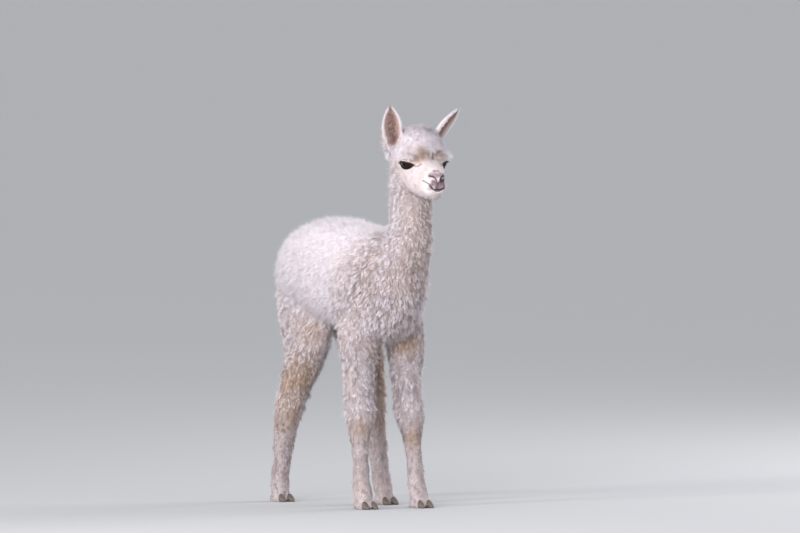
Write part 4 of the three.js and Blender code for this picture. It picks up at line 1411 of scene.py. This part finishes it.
# One piece of the coat: a tuft is a few rings of three corners, and its tip.
def tuftPiece(name, tufts, tone):
    grain = coatGrain
    rings = 1 if name in grain["oneRing"] else grain["rings"]
    count = len(tufts["roots"])
    places, depths, facings = [], [], []
    for step in range(rings + 1):
        s = 1.0 if step == rings else step / (rings + 0.15)
        wave = 2 * np.pi * grain["turns"] * s + tufts["phase"]
        swing = tufts["across"] * np.sin(wave) + 0.6 * tufts["out"] * np.cos(wave)
        centre = tufts["roots"] + tufts["along"] * s + tufts["out"] * tufts["arch"] * 4 * s * (1 - s)
        centre = centre + swing * tufts["curl"] * s**0.7
        if step == rings:
            places.append(centre)
            facings.append(unit(tufts["along"]))
            depths.append(1.0)
            continue
        half = tufts["width"] / 2 * (1 - 0.45 * s**2)
        for angle in wholeTurn(3) + np.pi / 2:
            offset = tufts["across"] * math.cos(angle) + tufts["out"] * math.sin(angle) * grain["thickness"]
            places.append(centre + offset * half)
            facings.append(unit(offset))
            depths.append(s)
    places, facings = np.stack(places, 1), np.stack(facings, 1)
    softened = tufts["normal"][:, None] * grain["soften"] + facings * (1 - grain["soften"])
    perTuft, depths = len(depths), np.array(depths)
    triangles = [[0, 2, 1]]
    for step in range(rings):
        for corner in range(3):
            a, b = step * 3 + corner, step * 3 + (corner + 1) % 3
            triangles += [[a, b, rings * 3]] if step == rings - 1 else [[a, b, b + 3], [a, b + 3, a + 3]]
    triangles = np.array(triangles)[None] + (np.arange(count) * perTuft)[:, None, None]
    spread = np.array([-0.5, 0.5, 0.0] * rings + [0.0])
    onMap = tufts["patches"][:, None] + grain["patch"] * np.stack([spread, depths - 0.5], 1)
    values = {k: np.repeat(v, perTuft) for k, v in tone.items()}
    values["depth"] = np.tile(depths, count)
    places = toScene(places.reshape(-1, 3))
    places[:, 2] = np.maximum(places[:, 2], 0.3 * mm)
    facings = unit(softened.reshape(-1, 3))
    return meshFromArrays(name, places, triangles.reshape(-1, 3), onMap.reshape(-1, 2), facings, values)


def growCoat():
    tufts, tone, *shares = layTufts()
    made = []
    for name, chosen in coatGroups(tufts["roots"], *shares).items():
        chosenTufts = {k: v[chosen] for k, v in tufts.items()}
        piece = tuftPiece(name, chosenTufts, {k: v[chosen] for k, v in tone.items()})
        made.append(piece)
        print(name + ":", chosen.sum(), "tufts,", len(piece.data.polygons), "triangles")
    return made


coatPieces = growCoat()


# Gives a socket a value, or a link where the value is a socket itself.
def feed(tree, socket, value):
    if isinstance(value, bpy.types.NodeSocket):
        tree.links.new(value, socket)
    else:
        socket.default_value = value


# Adds a node, sets what is named, and feeds its inputs, each by its name or as i and its number.
def addNode(tree, kind, settings=None, **inputs):
    node = tree.nodes.new(kind)
    for key, value in (settings or {}).items():
        setattr(node, key, value)
    for key, value in inputs.items():
        numbered = key[0] == "i" and key[1:].isdigit()
        feed(tree, node.inputs[int(key[1:]) if numbered else key], value)
    return node


def mixColours(tree, share, first, second):
    return addNode(tree, "ShaderNodeMix", {"data_type": "RGBA"}, i0=share, i6=first, i7=second).outputs[2]


def calculate(tree, operation, first, second=0.0, clamp=False):
    settings = {"operation": operation, "use_clamp": clamp}
    return addNode(tree, "ShaderNodeMath", settings, i0=first, i1=second).outputs[0]


def times(tree, first, second, clamp=False):
    return calculate(tree, "MULTIPLY", first, second, clamp)


def noiseOf(tree, place, scale, detail, roughness=0.5):
    inputs = {"Vector": place, "Scale": scale, "Detail": detail, "Roughness": roughness}
    return addNode(tree, "ShaderNodeTexNoise", **inputs).outputs[0]


# Brings a value from one range to another, and keeps it there.
def ranged(tree, value, low=0.0, high=1.0, start=0.0, end=1.0):
    inputs = {"Value": value, "From Min": low, "From Max": high, "To Min": start, "To Max": end}
    return addNode(tree, "ShaderNodeMapRange", **inputs).outputs[0]


def attributeOf(tree, name):
    return addNode(tree, "ShaderNodeAttribute", {"attribute_name": name}).outputs["Fac"]


def placeOf(tree):
    return addNode(tree, "ShaderNodeTexCoord").outputs["Object"]


# A new material with its node tree and shader, where the values that are named are the same all over.
def newPaint(name, **values):
    paint = bpy.data.materials.new(name)
    paint.use_nodes = True
    tree = paint.node_tree
    shader = tree.nodes["Principled BSDF"]
    for key, value in values.items():
        shader.inputs[shaderSockets[key]].default_value = value
    return paint, tree, shader


def addBump(tree, shader, height, strength, distance):
    bump = addNode(tree, "ShaderNodeBump", Strength=strength, Distance=distance, Height=height)
    tree.links.new(bump.outputs[0], shader.inputs["Normal"])


shaderSockets = {
    "roughness": "Roughness",
    "specular": "Specular IOR Level",
    "sheen": "Sheen Weight",
    "sheenRoughness": "Sheen Roughness",
    "coat": "Coat Weight",
    "coatRoughness": "Coat Roughness",
}
# The one palette of skin and coat: wool, tan patches, pink skin, dark pigment, and painted shade, where the
# marks say.
palette = {
    "Wool": (0.85, 0.795, 0.85, 1),
    "Warm": (0.84, 0.745, 0.745, 1),
    "Tan": (0.68, 0.485, 0.33, 1),
    "Pink": (0.29, 0.20, 0.225, 1),
    "Brown": (0.16, 0.085, 0.065, 1),
    "Dark": (0.008, 0.006, 0.008, 1),
    "Lining": (0.42, 0.285, 0.26, 1),
    "Cup": (0.055, 0.028, 0.028, 1),
    "GapShade": (0.21, 0.13, 0.095, 1),
}


toneMarks = ["Tan", "Pink", "Brown", "Dark", "Cup"]  # each a share, from the attribute of its name
# The grains of the tones: scale, detail and roughness.
toneNoise = {
    "patches": [14.0, 3.0],
    "breaks": [95.0, 3.0],
    "specks": [330.0, 2.0],
    "flecks": [310.0, 4.0, 0.75],
}
# From where to where each of them shows, and from how little to how much.
toneRanges = {
    "patches": [0.38, 0.68, 0.0, 0.6],
    "breaks": [0.36, 0.64, 0.45, 1.2],
    "dots": [0.56, 0.68, 0.0, 0.6],
    "freckles": [0.52, 0.68, 0.0, 0.55],
    "flecks": [0.4, 0.6, 0.15, 1.15],
    "lining": [0.0, 0.4],
    "hollow": [0.45, 0.95],
    "roughness": [0.0, 1.0, 0.85, 0.55],
}
# The colour of a gap is painted shade between the locks.
gapOwnColour = 0.3  # how much of its own colour the wool keeps in a gap


def buildToneGroup():
    group = bpy.data.node_groups.new("animalTone", "ShaderNodeTree")
    face = group.interface
    face.new_socket("Place", in_out="INPUT", socket_type="NodeSocketVector")
    for name in [mark + " share" for mark in toneMarks] + ["Shade"]:
        face.new_socket(name, in_out="INPUT", socket_type="NodeSocketFloat")
    for name, colour in palette.items():
        face.new_socket(name, in_out="INPUT", socket_type="NodeSocketColor").default_value = colour
    face.new_socket("Color", in_out="OUTPUT", socket_type="NodeSocketColor")
    face.new_socket("Roughness", in_out="OUTPUT", socket_type="NodeSocketFloat")
    given = group.nodes.new("NodeGroupInput").outputs
    place, pink, cup = given["Place"], given["Pink share"], given["Cup share"]

    def over(colour, share, name):
        return mixColours(group, share, colour, given[name])

    grain = {name: noiseOf(group, place, *values) for name, values in toneNoise.items()}

    def shown(name, value):
        return ranged(group, value, *toneRanges[name])

    patchy = shown("patches", grain["patches"])
    tan = times(group, given["Tan share"], shown("breaks", grain["breaks"]), True)
    dots = times(group, tan, shown("dots", grain["specks"]), True)
    hollow = times(group, shown("hollow", cup), shown("flecks", grain["flecks"]), True)
    mottle = times(group, pink, shown("freckles", grain["specks"]))
    colour = over(given["Wool"], patchy, "Warm")
    colour = over(over(colour, tan, "Tan"), dots, "Brown")
    colour = over(over(colour, shown("lining", cup), "Lining"), hollow, "Cup")
    colour = over(over(colour, pink, "Pink"), given["Brown share"], "Brown")
    colour = over(colour, calculate(group, "MAXIMUM", mottle, given["Dark share"]), "Dark")
    # Painted shade: the colour is drawn towards the gap's shade colour as far as Shade says.
    gap = mixColours(group, gapOwnColour, given["GapShade"], colour)
    shaded = mixColours(group, given["Shade"], colour, gap)
    result = group.nodes.new("NodeGroupOutput").inputs
    group.links.new(shaded, result["Color"])
    group.links.new(shown("roughness", given["Dark share"]), result["Roughness"])
    return group


toneGroup = buildToneGroup()


# The painted shade of the roots and of the seams between tresses, and the painted streaks of shade.
woolLook = {
    "rootFall": 1.6,  # how fast the dark of the roots falls off to the tips
    "seamFall": 0.6,  # and between the tresses
    "lockTint": 0.08,  # how much locks differ
    "streakScale": (110.0, 110.0, 42.0),
    "streaks": [0.5, 0.62],
}


# Painted shade: the roots are darker, most of all at the seams between the tresses, and locks differ a little
# from each other. Painted shade also darkens the coat in streaks, as much as the marks say.
def woolShade(tree, place, gapShade):
    look, rest = woolLook, calculate(tree, "SUBTRACT", 1.0, attributeOf(tree, "depth"))
    seam = times(tree, attributeOf(tree, "seam"), calculate(tree, "POWER", rest, look["seamFall"]))
    deep = calculate(tree, "MAXIMUM", calculate(tree, "POWER", rest, look["rootFall"]), seam)
    own = times(tree, attributeOf(tree, "tint"), look["lockTint"])
    drawn = addNode(tree, "ShaderNodeMapping", Vector=place, Scale=look["streakScale"]).outputs[0]
    streak = ranged(tree, noiseOf(tree, drawn, 1.0, 2.0), *look["streaks"])
    shade = times(tree, calculate(tree, "ADD", deep, own), gapShade)
    return calculate(tree, "ADD", shade, times(tree, streak, attributeOf(tree, "streakShade")), True)


def paintOf(name, grainScale, grainHeight, **values):
    paint, tree, shader = newPaint(name, sheenRoughness=0.5, **values)
    place = placeOf(tree)
    tone = addNode(tree, "ShaderNodeGroup", {"node_tree": toneGroup}, Place=place)
    for mark in toneMarks:
        tree.links.new(attributeOf(tree, mark.lower()), tone.inputs[mark + " share"])
    # Painted shade between the locks: on the tufts by depth, seams and streaks, on the skin under them by the
    # gaps alone.
    gapShade = attributeOf(tree, "gapShade")
    shade = woolShade(tree, place, gapShade) if name == "woolTufts" else gapShade
    tree.links.new(shade, tone.inputs["Shade"])
    tree.links.new(tone.outputs["Color"], shader.inputs["Base Color"])
    tree.links.new(tone.outputs["Roughness"], shader.inputs["Roughness"])
    addBump(tree, shader, noiseOf(tree, place, grainScale, 4.0), 0.5, grainHeight)
    return paint


woolPaint = paintOf("woolTufts", 400.0, 0.0004, specular=0.25, sheen=0.12)
skinPaint = paintOf("skinUnderWool", 900.0, 0.0006, specular=0.07, sheen=0.0)
for piece in coatPieces:
    piece.data.materials.append(woolPaint)
skin.data.materials.clear()
skin.data.materials.append(skinPaint)
print("skin and coat painted")


# An eye's cornea stands out by so much. The pupil is so wide and high, and the white begins and is whole so
# far out.
eyeLook = {
    "cornea": 0.8,
    "pupil": [6.2, 3.1],
    "white": [11.0, 12.6],
    "pupilColour": (0.0015, 0.0015, 0.002, 1),
    "irisColours": [(0.006, 0.004, 0.004, 1), (0.026, 0.015, 0.011, 1)],
    "whiteColour": (0.10, 0.06, 0.05, 1),
}


# A smooth ball with a raised cornea, that knows where each point lies across the way it looks.
def buildEye(name, side):
    place, along, up, look = eyeFrame(side)
    around, rows = 56, 40
    polar = np.linspace(0.012, np.pi - 0.012, rows)
    turn = wholeTurn(around)
    raised = eyeShape["radius"] + eyeLook["cornea"] * smoothStep(0.72, 0.2, polar)
    u = (raised * np.sin(polar))[:, None] * np.cos(turn)
    v = (raised * np.sin(polar))[:, None] * np.sin(turn)
    depth = (raised * np.cos(polar))[:, None] + 0 * u
    rings = np.stack([u, v, depth], -1) @ np.array([along, up, look])
    places, faces = closedTube(place + rings)
    eye = headObject(name, (places, faces))
    fixNormals(eye.data)
    for key, axis in (("eyeAlong", along), ("eyeUp", up)):
        setAttribute(eye.data, key, (places - place) @ axis)
    return eye


def eyePaint():
    paint, tree, shader = newPaint("wetEye", roughness=0.06, specular=0.11, coat=0.06, coatRoughness=0.02)
    u, v = attributeOf(tree, "eyeAlong"), attributeOf(tree, "eyeUp")

    def squared(value, size):
        return calculate(tree, "POWER", calculate(tree, "DIVIDE", value, size), 2.0)

    def roundOf(wide, high):
        return calculate(tree, "ADD", squared(u, wide), squared(v, high))

    pupil = ranged(tree, roundOf(*eyeLook["pupil"]), 0.75, 1.35)
    white = ranged(tree, calculate(tree, "SQRT", roundOf(1.0, 1.0)), *eyeLook["white"])
    iris = mixColours(tree, noiseOf(tree, placeOf(tree), 600.0, 3.0), *eyeLook["irisColours"])
    inner = mixColours(tree, pupil, eyeLook["pupilColour"], iris)
    tree.links.new(mixColours(tree, white, inner, eyeLook["whiteColour"]), shader.inputs["Base Color"])
    return paint


wetEye = eyePaint()
for name, side in sides.items():
    eye = buildEye("eyeBall" + name.capitalize(), side)
    eye.data.materials.append(wetEye)
    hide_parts("eye_" + name)
    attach(eye, "root")
print("eyes")


# The nails cap each toe in front of a slanting cut.
nailLook = {
    "play": 0.3,  # how far the cut lies ahead of the solid's
    "grown": 0.15,
    "slant": (-1, 0, -0.35),
    "floor": 0.0002,
    "colours": [(0.045, 0.035, 0.03, 1), (0.17, 0.13, 0.10, 1)],
}


def buildNails():
    nails = []
    for legName, leg in legPlan.items():
        end, side = ("front", legName[5:]) if legName.startswith("front") else ("hind", legName[4:])
        foot = footPlace(leg)
        cutAt = toeShape["length"] - toeShape["nailLength"] + nailLook["play"]
        start = toScene([foot + np.array([cutAt, 0, 0])])[0]
        for k, toeSide in enumerate((-1, 1)):
            places, faces = toeForm(foot, toeSide).loft(14, 40, nailLook["grown"])
            nail = meshObject(f"nail{end.capitalize()}{side}{k + 1}", toScene(places), faces)
            trim(nail.data, [(start, nailLook["slant"]), ((0, 0, nailLook["floor"]), (0, 0, -1))])
            fixNormals(nail.data)
            shadeSmooth(nail.data)
            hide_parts(f"nail_{end}_{side.lower()}_{k + 1}")
            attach(nail, "root")
            nails.append(nail)
    return nails


def hornPaint():
    paint, tree, shader = newPaint("horn")
    place = placeOf(tree)
    stretched = addNode(tree, "ShaderNodeMapping", Vector=place, Scale=(90.0, 700.0, 700.0)).outputs[0]
    lines = noiseOf(tree, stretched, 1.0, 3.0)
    tree.links.new(mixColours(tree, lines, *nailLook["colours"]), shader.inputs["Base Color"])
    tree.links.new(ranged(tree, lines, 0.0, 1.0, 0.35, 0.6), shader.inputs["Roughness"])
    addBump(tree, shader, lines, 0.4, 0.0004)
    return paint


horn = hornPaint()
for nail in buildNails():
    nail.data.materials.append(horn)
print("nails")


# Bristles along lines: each stands the way that its line says there, bowed a little, with some spread.
def buildBristleGroup():
    group = bpy.data.node_groups.new("bristlesOnLine", "GeometryNodeTree")
    face = group.interface
    face.new_socket("Line", in_out="INPUT", socket_type="NodeSocketGeometry")
    for name in ("Length", "Width", "Spacing", "Spread", "Bow"):
        face.new_socket(name, in_out="INPUT", socket_type="NodeSocketFloat")
    face.new_socket("Seed", in_out="INPUT", socket_type="NodeSocketInt")
    face.new_socket("Finish", in_out="INPUT", socket_type="NodeSocketMaterial")
    face.new_socket("Bristles", in_out="OUTPUT", socket_type="NodeSocketGeometry")
    given = group.nodes.new("NodeGroupInput").outputs

    def step(kind, settings=None, **inputs):
        return addNode(group, kind, settings, **inputs).outputs[0]

    def atPoint(name, kind):
        return step("GeometryNodeInputNamedAttribute", {"data_type": kind}, Name=name)

    end = step("ShaderNodeCombineXYZ", X=given["Bow"], Z=1.0)
    bend = {"Start": (0, 0, 0), "Middle": (0, 0, 0.5), "End": end}
    hair = step("GeometryNodeCurveQuadraticBezier", Resolution=4, **bend)
    factor = addNode(group, "GeometryNodeSplineParameter").outputs["Factor"]
    taper = ranged(group, factor, 0.0, 1.0, 1.0, 0.12)
    hair = step("GeometryNodeSetCurveRadius", Curve=hair, Radius=taper)
    slim = calculate(group, "DIVIDE", given["Width"], times(group, given["Length"], 2.0))
    ring = step("GeometryNodeCurvePrimitiveCircle", Resolution=4, Radius=slim)
    hair = step("GeometryNodeCurveToMesh", **{"Curve": hair, "Profile Curve": ring, "Fill Caps": True})

    line = step("GeometryNodeMeshToCurve", Mesh=given["Line"])
    line = step("GeometryNodeResampleCurve", {"mode": "LENGTH"}, Curve=line, Length=given["Spacing"])
    seed = given["Seed"]
    around = {"i0": (-1, -1, -1), "i1": (1, 1, 1)}
    spread = step("FunctionNodeRandomValue", {"data_type": "FLOAT_VECTOR"}, Seed=seed, **around)
    spread = step("ShaderNodeVectorMath", {"operation": "SCALE"}, i0=spread, Scale=given["Spread"])
    way = step("ShaderNodeVectorMath", {"operation": "ADD"}, i0=atPoint("way", "FLOAT_VECTOR"), i1=spread)
    turn = step("FunctionNodeAlignRotationToVector", {"axis": "Z"}, Vector=way)
    aside = {"axis": "X", "pivot_axis": "Z"}
    bow = atPoint("bow", "FLOAT_VECTOR")
    turn = step("FunctionNodeAlignRotationToVector", aside, Rotation=turn, Vector=bow)
    size = addNode(group, "FunctionNodeRandomValue", {"data_type": "FLOAT"}, i2=0.65, i3=1.1, Seed=seed)
    size = times(group, size.outputs[1], times(group, given["Length"], atPoint("share", "FLOAT")))
    placed = {"Points": line, "Instance": hair, "Rotation": turn, "Scale": size}
    real = step("GeometryNodeRealizeInstances", Geometry=step("GeometryNodeInstanceOnPoints", **placed))
    done = addNode(group, "GeometryNodeSetMaterial", Geometry=real, Material=given["Finish"])
    group.links.new(done.outputs[0], group.nodes.new("NodeGroupOutput").inputs["Bristles"])
    return group


bristleGroup = buildBristleGroup()
# in mm: the length, width and spacing; how far they spread and bow, as shares of the length
bristlePlan = {
    "eyelashes": {"Length": 4.2, "Width": 0.5, "Spacing": 0.36, "Spread": 0.22, "Bow": 0.2, "Seed": 3},
    "earFringe": {"Length": 6.5, "Width": 0.3, "Spacing": 0.32, "Spread": 0.6, "Bow": 0.25, "Seed": 5},
    "browWisps": {"Length": 18.0, "Width": 0.4, "Spacing": 0.7, "Spread": 0.45, "Bow": 0.25, "Seed": 7},
    "earTufts": {"Length": 19.0, "Width": 0.42, "Spacing": 0.3, "Spread": 0.6, "Bow": 0.3, "Seed": 9},
    "whiskers": {"Length": 10.0, "Width": 0.3, "Spacing": 2.6, "Spread": 0.3, "Bow": 0.3, "Seed": 11},
}


# Each line is its places, the ways of its bristles there, the way they bow, and shares of the length, all
# in the head's measures.
def growBristles(name, lines, finish):
    places, edges, ways, bows, shares = [], [], [], [], []
    for line, way, bow, share in lines:
        start, still = len(places), np.zeros((len(line), 3))
        places += list(fromHead(line))
        edges += [[start + k, start + k + 1] for k in range(len(line) - 1)]
        ways += list((still + way) @ headTurn.T)
        bows += list((still + bow) @ headTurn.T)
        shares += list(still[:, 0] + share)
    mesh = bpy.data.meshes.new(name)
    mesh.from_pydata(toScene(places).tolist(), edges, [])
    setAttribute(mesh, "way", ways, "FLOAT_VECTOR")
    setAttribute(mesh, "bow", bows, "FLOAT_VECTOR")
    setAttribute(mesh, "share", shares)
    piece = linked(name, mesh)
    modifier = piece.modifiers.new("bristles", "NODES")
    modifier.node_group = bristleGroup
    plan = {**bristlePlan[name], "Finish": finish}
    for socket in bristleGroup.interface.items_tree:
        if socket.in_out == "INPUT" and socket.name in plan:
            value = plan[socket.name]
            isMeasure = socket.name in ("Length", "Width", "Spacing")
            modifier[socket.identifier] = value * mm if isMeasure else value
    applyModifiers(piece)
    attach(piece, "root")
    print(name + ":", len(piece.data.polygons), "faces")


def lashLines():
    lines = []
    for name, side in sides.items():
        place, along, up, look = eyeFrame(side)
        rim = toHead(rimLines[name])
        upper = rim[: round(len(rim) * 0.46)]
        across = (upper - place) @ along / eyeShape["halfOpening"]
        way = look * 0.75 - up * 0.75 + across[:, None] * along * 0.25
        lines.append((upper + look * 0.3, way, up, 1 - 0.4 * across**2))
    return lines


def fringeLines(tree):
    lines = []
    for pose in earShape["poses"].values():
        root, length, along, front, across = earAxes(pose)
        share = np.linspace(0.16, 0.95, 18)
        half = earShape["halfWidth"] * earAt(share, 1)
        for edge in (-1, 1):
            aside = np.outer(half, across * edge + front * 0.3)
            rim = onSkin(tree, root + np.outer(share * length, along) + aside)
            lines.append((rim, along * 0.85 + across * edge * 0.4, -along, 0.6))
            lines.append((rim, along * 0.65 - across * edge * 0.5 + front * 0.4, along, 1.0))
    return lines


def mirroredLines(tree, plan):
    lines = []
    for places, way, bow, share in plan:
        for flip in np.array([[1, 1, 1], [1, -1, 1]]):
            course = lineThrough(np.array(places, float) * flip, 8)
            lines.append((onSkin(tree, course), way * flip, bow * flip, share))
    return lines


# the places, the way, the bow and the share of the length, on the head's left
linePlans = {
    "browWisps": [
        ([[24, 48, 10], [40, 42, 6], [50, 30, 6]], [0.35, 0.9, 0.05], [0, 0, -1], 0.8),
        ([[28, 49, 0], [42, 42, -2]], [0.4, 0.9, -0.1], [0, 0, -1], 1.0),
        ([[14, 44, 36], [26, 48, 20], [34, 46, 10]], [0.3, 0.85, 0.3], [0, 0, -1], 0.65),
        ([[22, 45, 24], [32, 45, 14]], [0.3, 0.9, 0.15], [0, 0, -1], 0.75),
    ],
    "earTufts": [
        ([[-34, 50, 34], [-38, 52, 14], [-34, 50, -4]], [-0.5, 0.85, 0.15], [0, 0, -1], 0.9),
        ([[-40, 48, 30], [-44, 48, 10], [-42, 46, -8]], [-0.6, 0.8, 0.05], [0, 0, -1], 1.0),
        ([[-44, 42, 30], [-50, 40, 10]], [-0.75, 0.6, 0.1], [0, 0, -1], 1.0),
    ],
    "whiskers": [
        ([[84, 16, -56], [78, 22, -62], [68, 26, -68]], [0.5, 0.7, -0.35], [0, 0, -1], 0.8),
        ([[84, 2, -88], [76, 16, -90], [64, 20, -92]], [0.5, 0.3, -0.8], [-1, 0, 0], 0.6),
    ],
}
lashColours = [(0.008, 0.006, 0.006, 1), (0.05, 0.032, 0.026, 1)]


def lashPaint():
    paint, tree, shader = newPaint("lashHair", roughness=0.6)
    colour = mixColours(tree, noiseOf(tree, placeOf(tree), 500.0, 2.0), *lashColours)
    tree.links.new(colour, shader.inputs["Base Color"])
    return paint


skinTree = treeOf(skin)
growBristles("eyelashes", lashLines(), lashPaint())
growBristles("earFringe", fringeLines(skinTree), woolPaint)
for name, plan in linePlans.items():
    growBristles(name, mirroredLines(skinTree, plan), woolPaint)
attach(skin, "root")
fleshNodes = [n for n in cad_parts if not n.startswith(("eye", "nail"))]
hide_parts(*fleshNodes)
for piece in coatPieces:
    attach(piece, "root")


cameraPlan = {
    "azimuth": 57,  # degrees round from the animal's right side towards its front
    "elevation": 3,
    "aim": [52, 237.5],  # what it looks at, in pixels right of and above the plan's origin
    "pixelsPerMetre": 465,
    "width": 800,  # of the render, in pixels
    "lens": 800,
    "reach": 900,  # how far it sees, in metres
}


def buildCamera():
    plan = cameraPlan
    turn, tilt = math.radians(plan["azimuth"]), math.radians(plan["elevation"])
    right = Vector((math.cos(turn), math.sin(turn), 0))
    back = Vector((math.sin(turn) * math.cos(tilt), -math.cos(turn) * math.cos(tilt), math.sin(tilt)))
    up = back.cross(right)
    aim = Vector(frameShift) + (right * plan["aim"][0] + up * plan["aim"][1]) / plan["pixelsPerMetre"]
    data = bpy.data.cameras.new("camera")
    data.lens, data.clip_end = plan["lens"], plan["reach"]
    distance = plan["width"] / plan["pixelsPerMetre"] * data.lens / data.sensor_width
    camera = linked("camera", data)
    camera.location = aim + back * distance
    camera.rotation_euler = back.to_track_quat("Z", "Y").to_euler()
    bpy.context.scene.camera = camera


# Wide soft light from above on the animal's right, two softboxes, and a pale room.
lampAim = [0, 0, 0.45]
sunPlan = {"from": [0.02, -0.9, 0.45], "strength": 1.25, "angle": 12, "colour": [1.0, 0.98, 0.965]}
boxPlan = {
    "fill": {"place": [2.0, -2.5, 1.3], "size": 2.2, "power": 96, "colour": [0.97, 0.96, 1.0]},
    "rim": {"place": [0.3, 3.2, 1.7], "size": 2.0, "power": 75, "colour": [0.97, 0.96, 1.0]},
}
roomPlan = {"colour": (0.86, 0.89, 0.95, 1), "strength": 0.83}
floorPlan = {"halfWidth": 400, "colour": (0.46, 0.46, 0.46, 1), "roughness": 0.9}


def buildLights():
    def lampAt(name, data, place, colour):
        data.color = colour
        lamp = linked(name, data)
        lamp.location = place
        lamp.rotation_euler = (lamp.location - Vector(lampAim)).to_track_quat("Z", "Y").to_euler()

    sun = bpy.data.lights.new("sun", "SUN")
    sun.energy, sun.angle = sunPlan["strength"], math.radians(sunPlan["angle"])
    lampAt("sun", sun, [4 * c for c in sunPlan["from"]], sunPlan["colour"])
    for name, plan in boxPlan.items():
        data = bpy.data.lights.new(name, "AREA")
        data.shape, data.size, data.energy = "DISK", plan["size"], plan["power"]
        lampAt(name, data, plan["place"], plan["colour"])
    world = bpy.data.worlds.new("paleRoom")
    world.use_nodes = True
    inputs = world.node_tree.nodes["Background"].inputs
    inputs["Color"].default_value = roomPlan["colour"]
    inputs["Strength"].default_value = roomPlan["strength"]
    bpy.context.scene.world = world


def buildFloor():
    half = floorPlan["halfWidth"]
    corners = [[x, y, 0] for x, y in ((-half, -half), (half, -half), (half, half), (-half, half))]
    floor = meshObject("floor", corners, [[0, 1, 2, 3]])
    paint, tree, shader = newPaint("paleFloor", roughness=floorPlan["roughness"])
    shader.inputs["Base Color"].default_value = floorPlan["colour"]
    floor.data.materials.append(paint)


bpy.context.scene.view_settings.view_transform = "Standard"
buildCamera()
buildLights()
buildFloor()
print("camera, lights and floor")
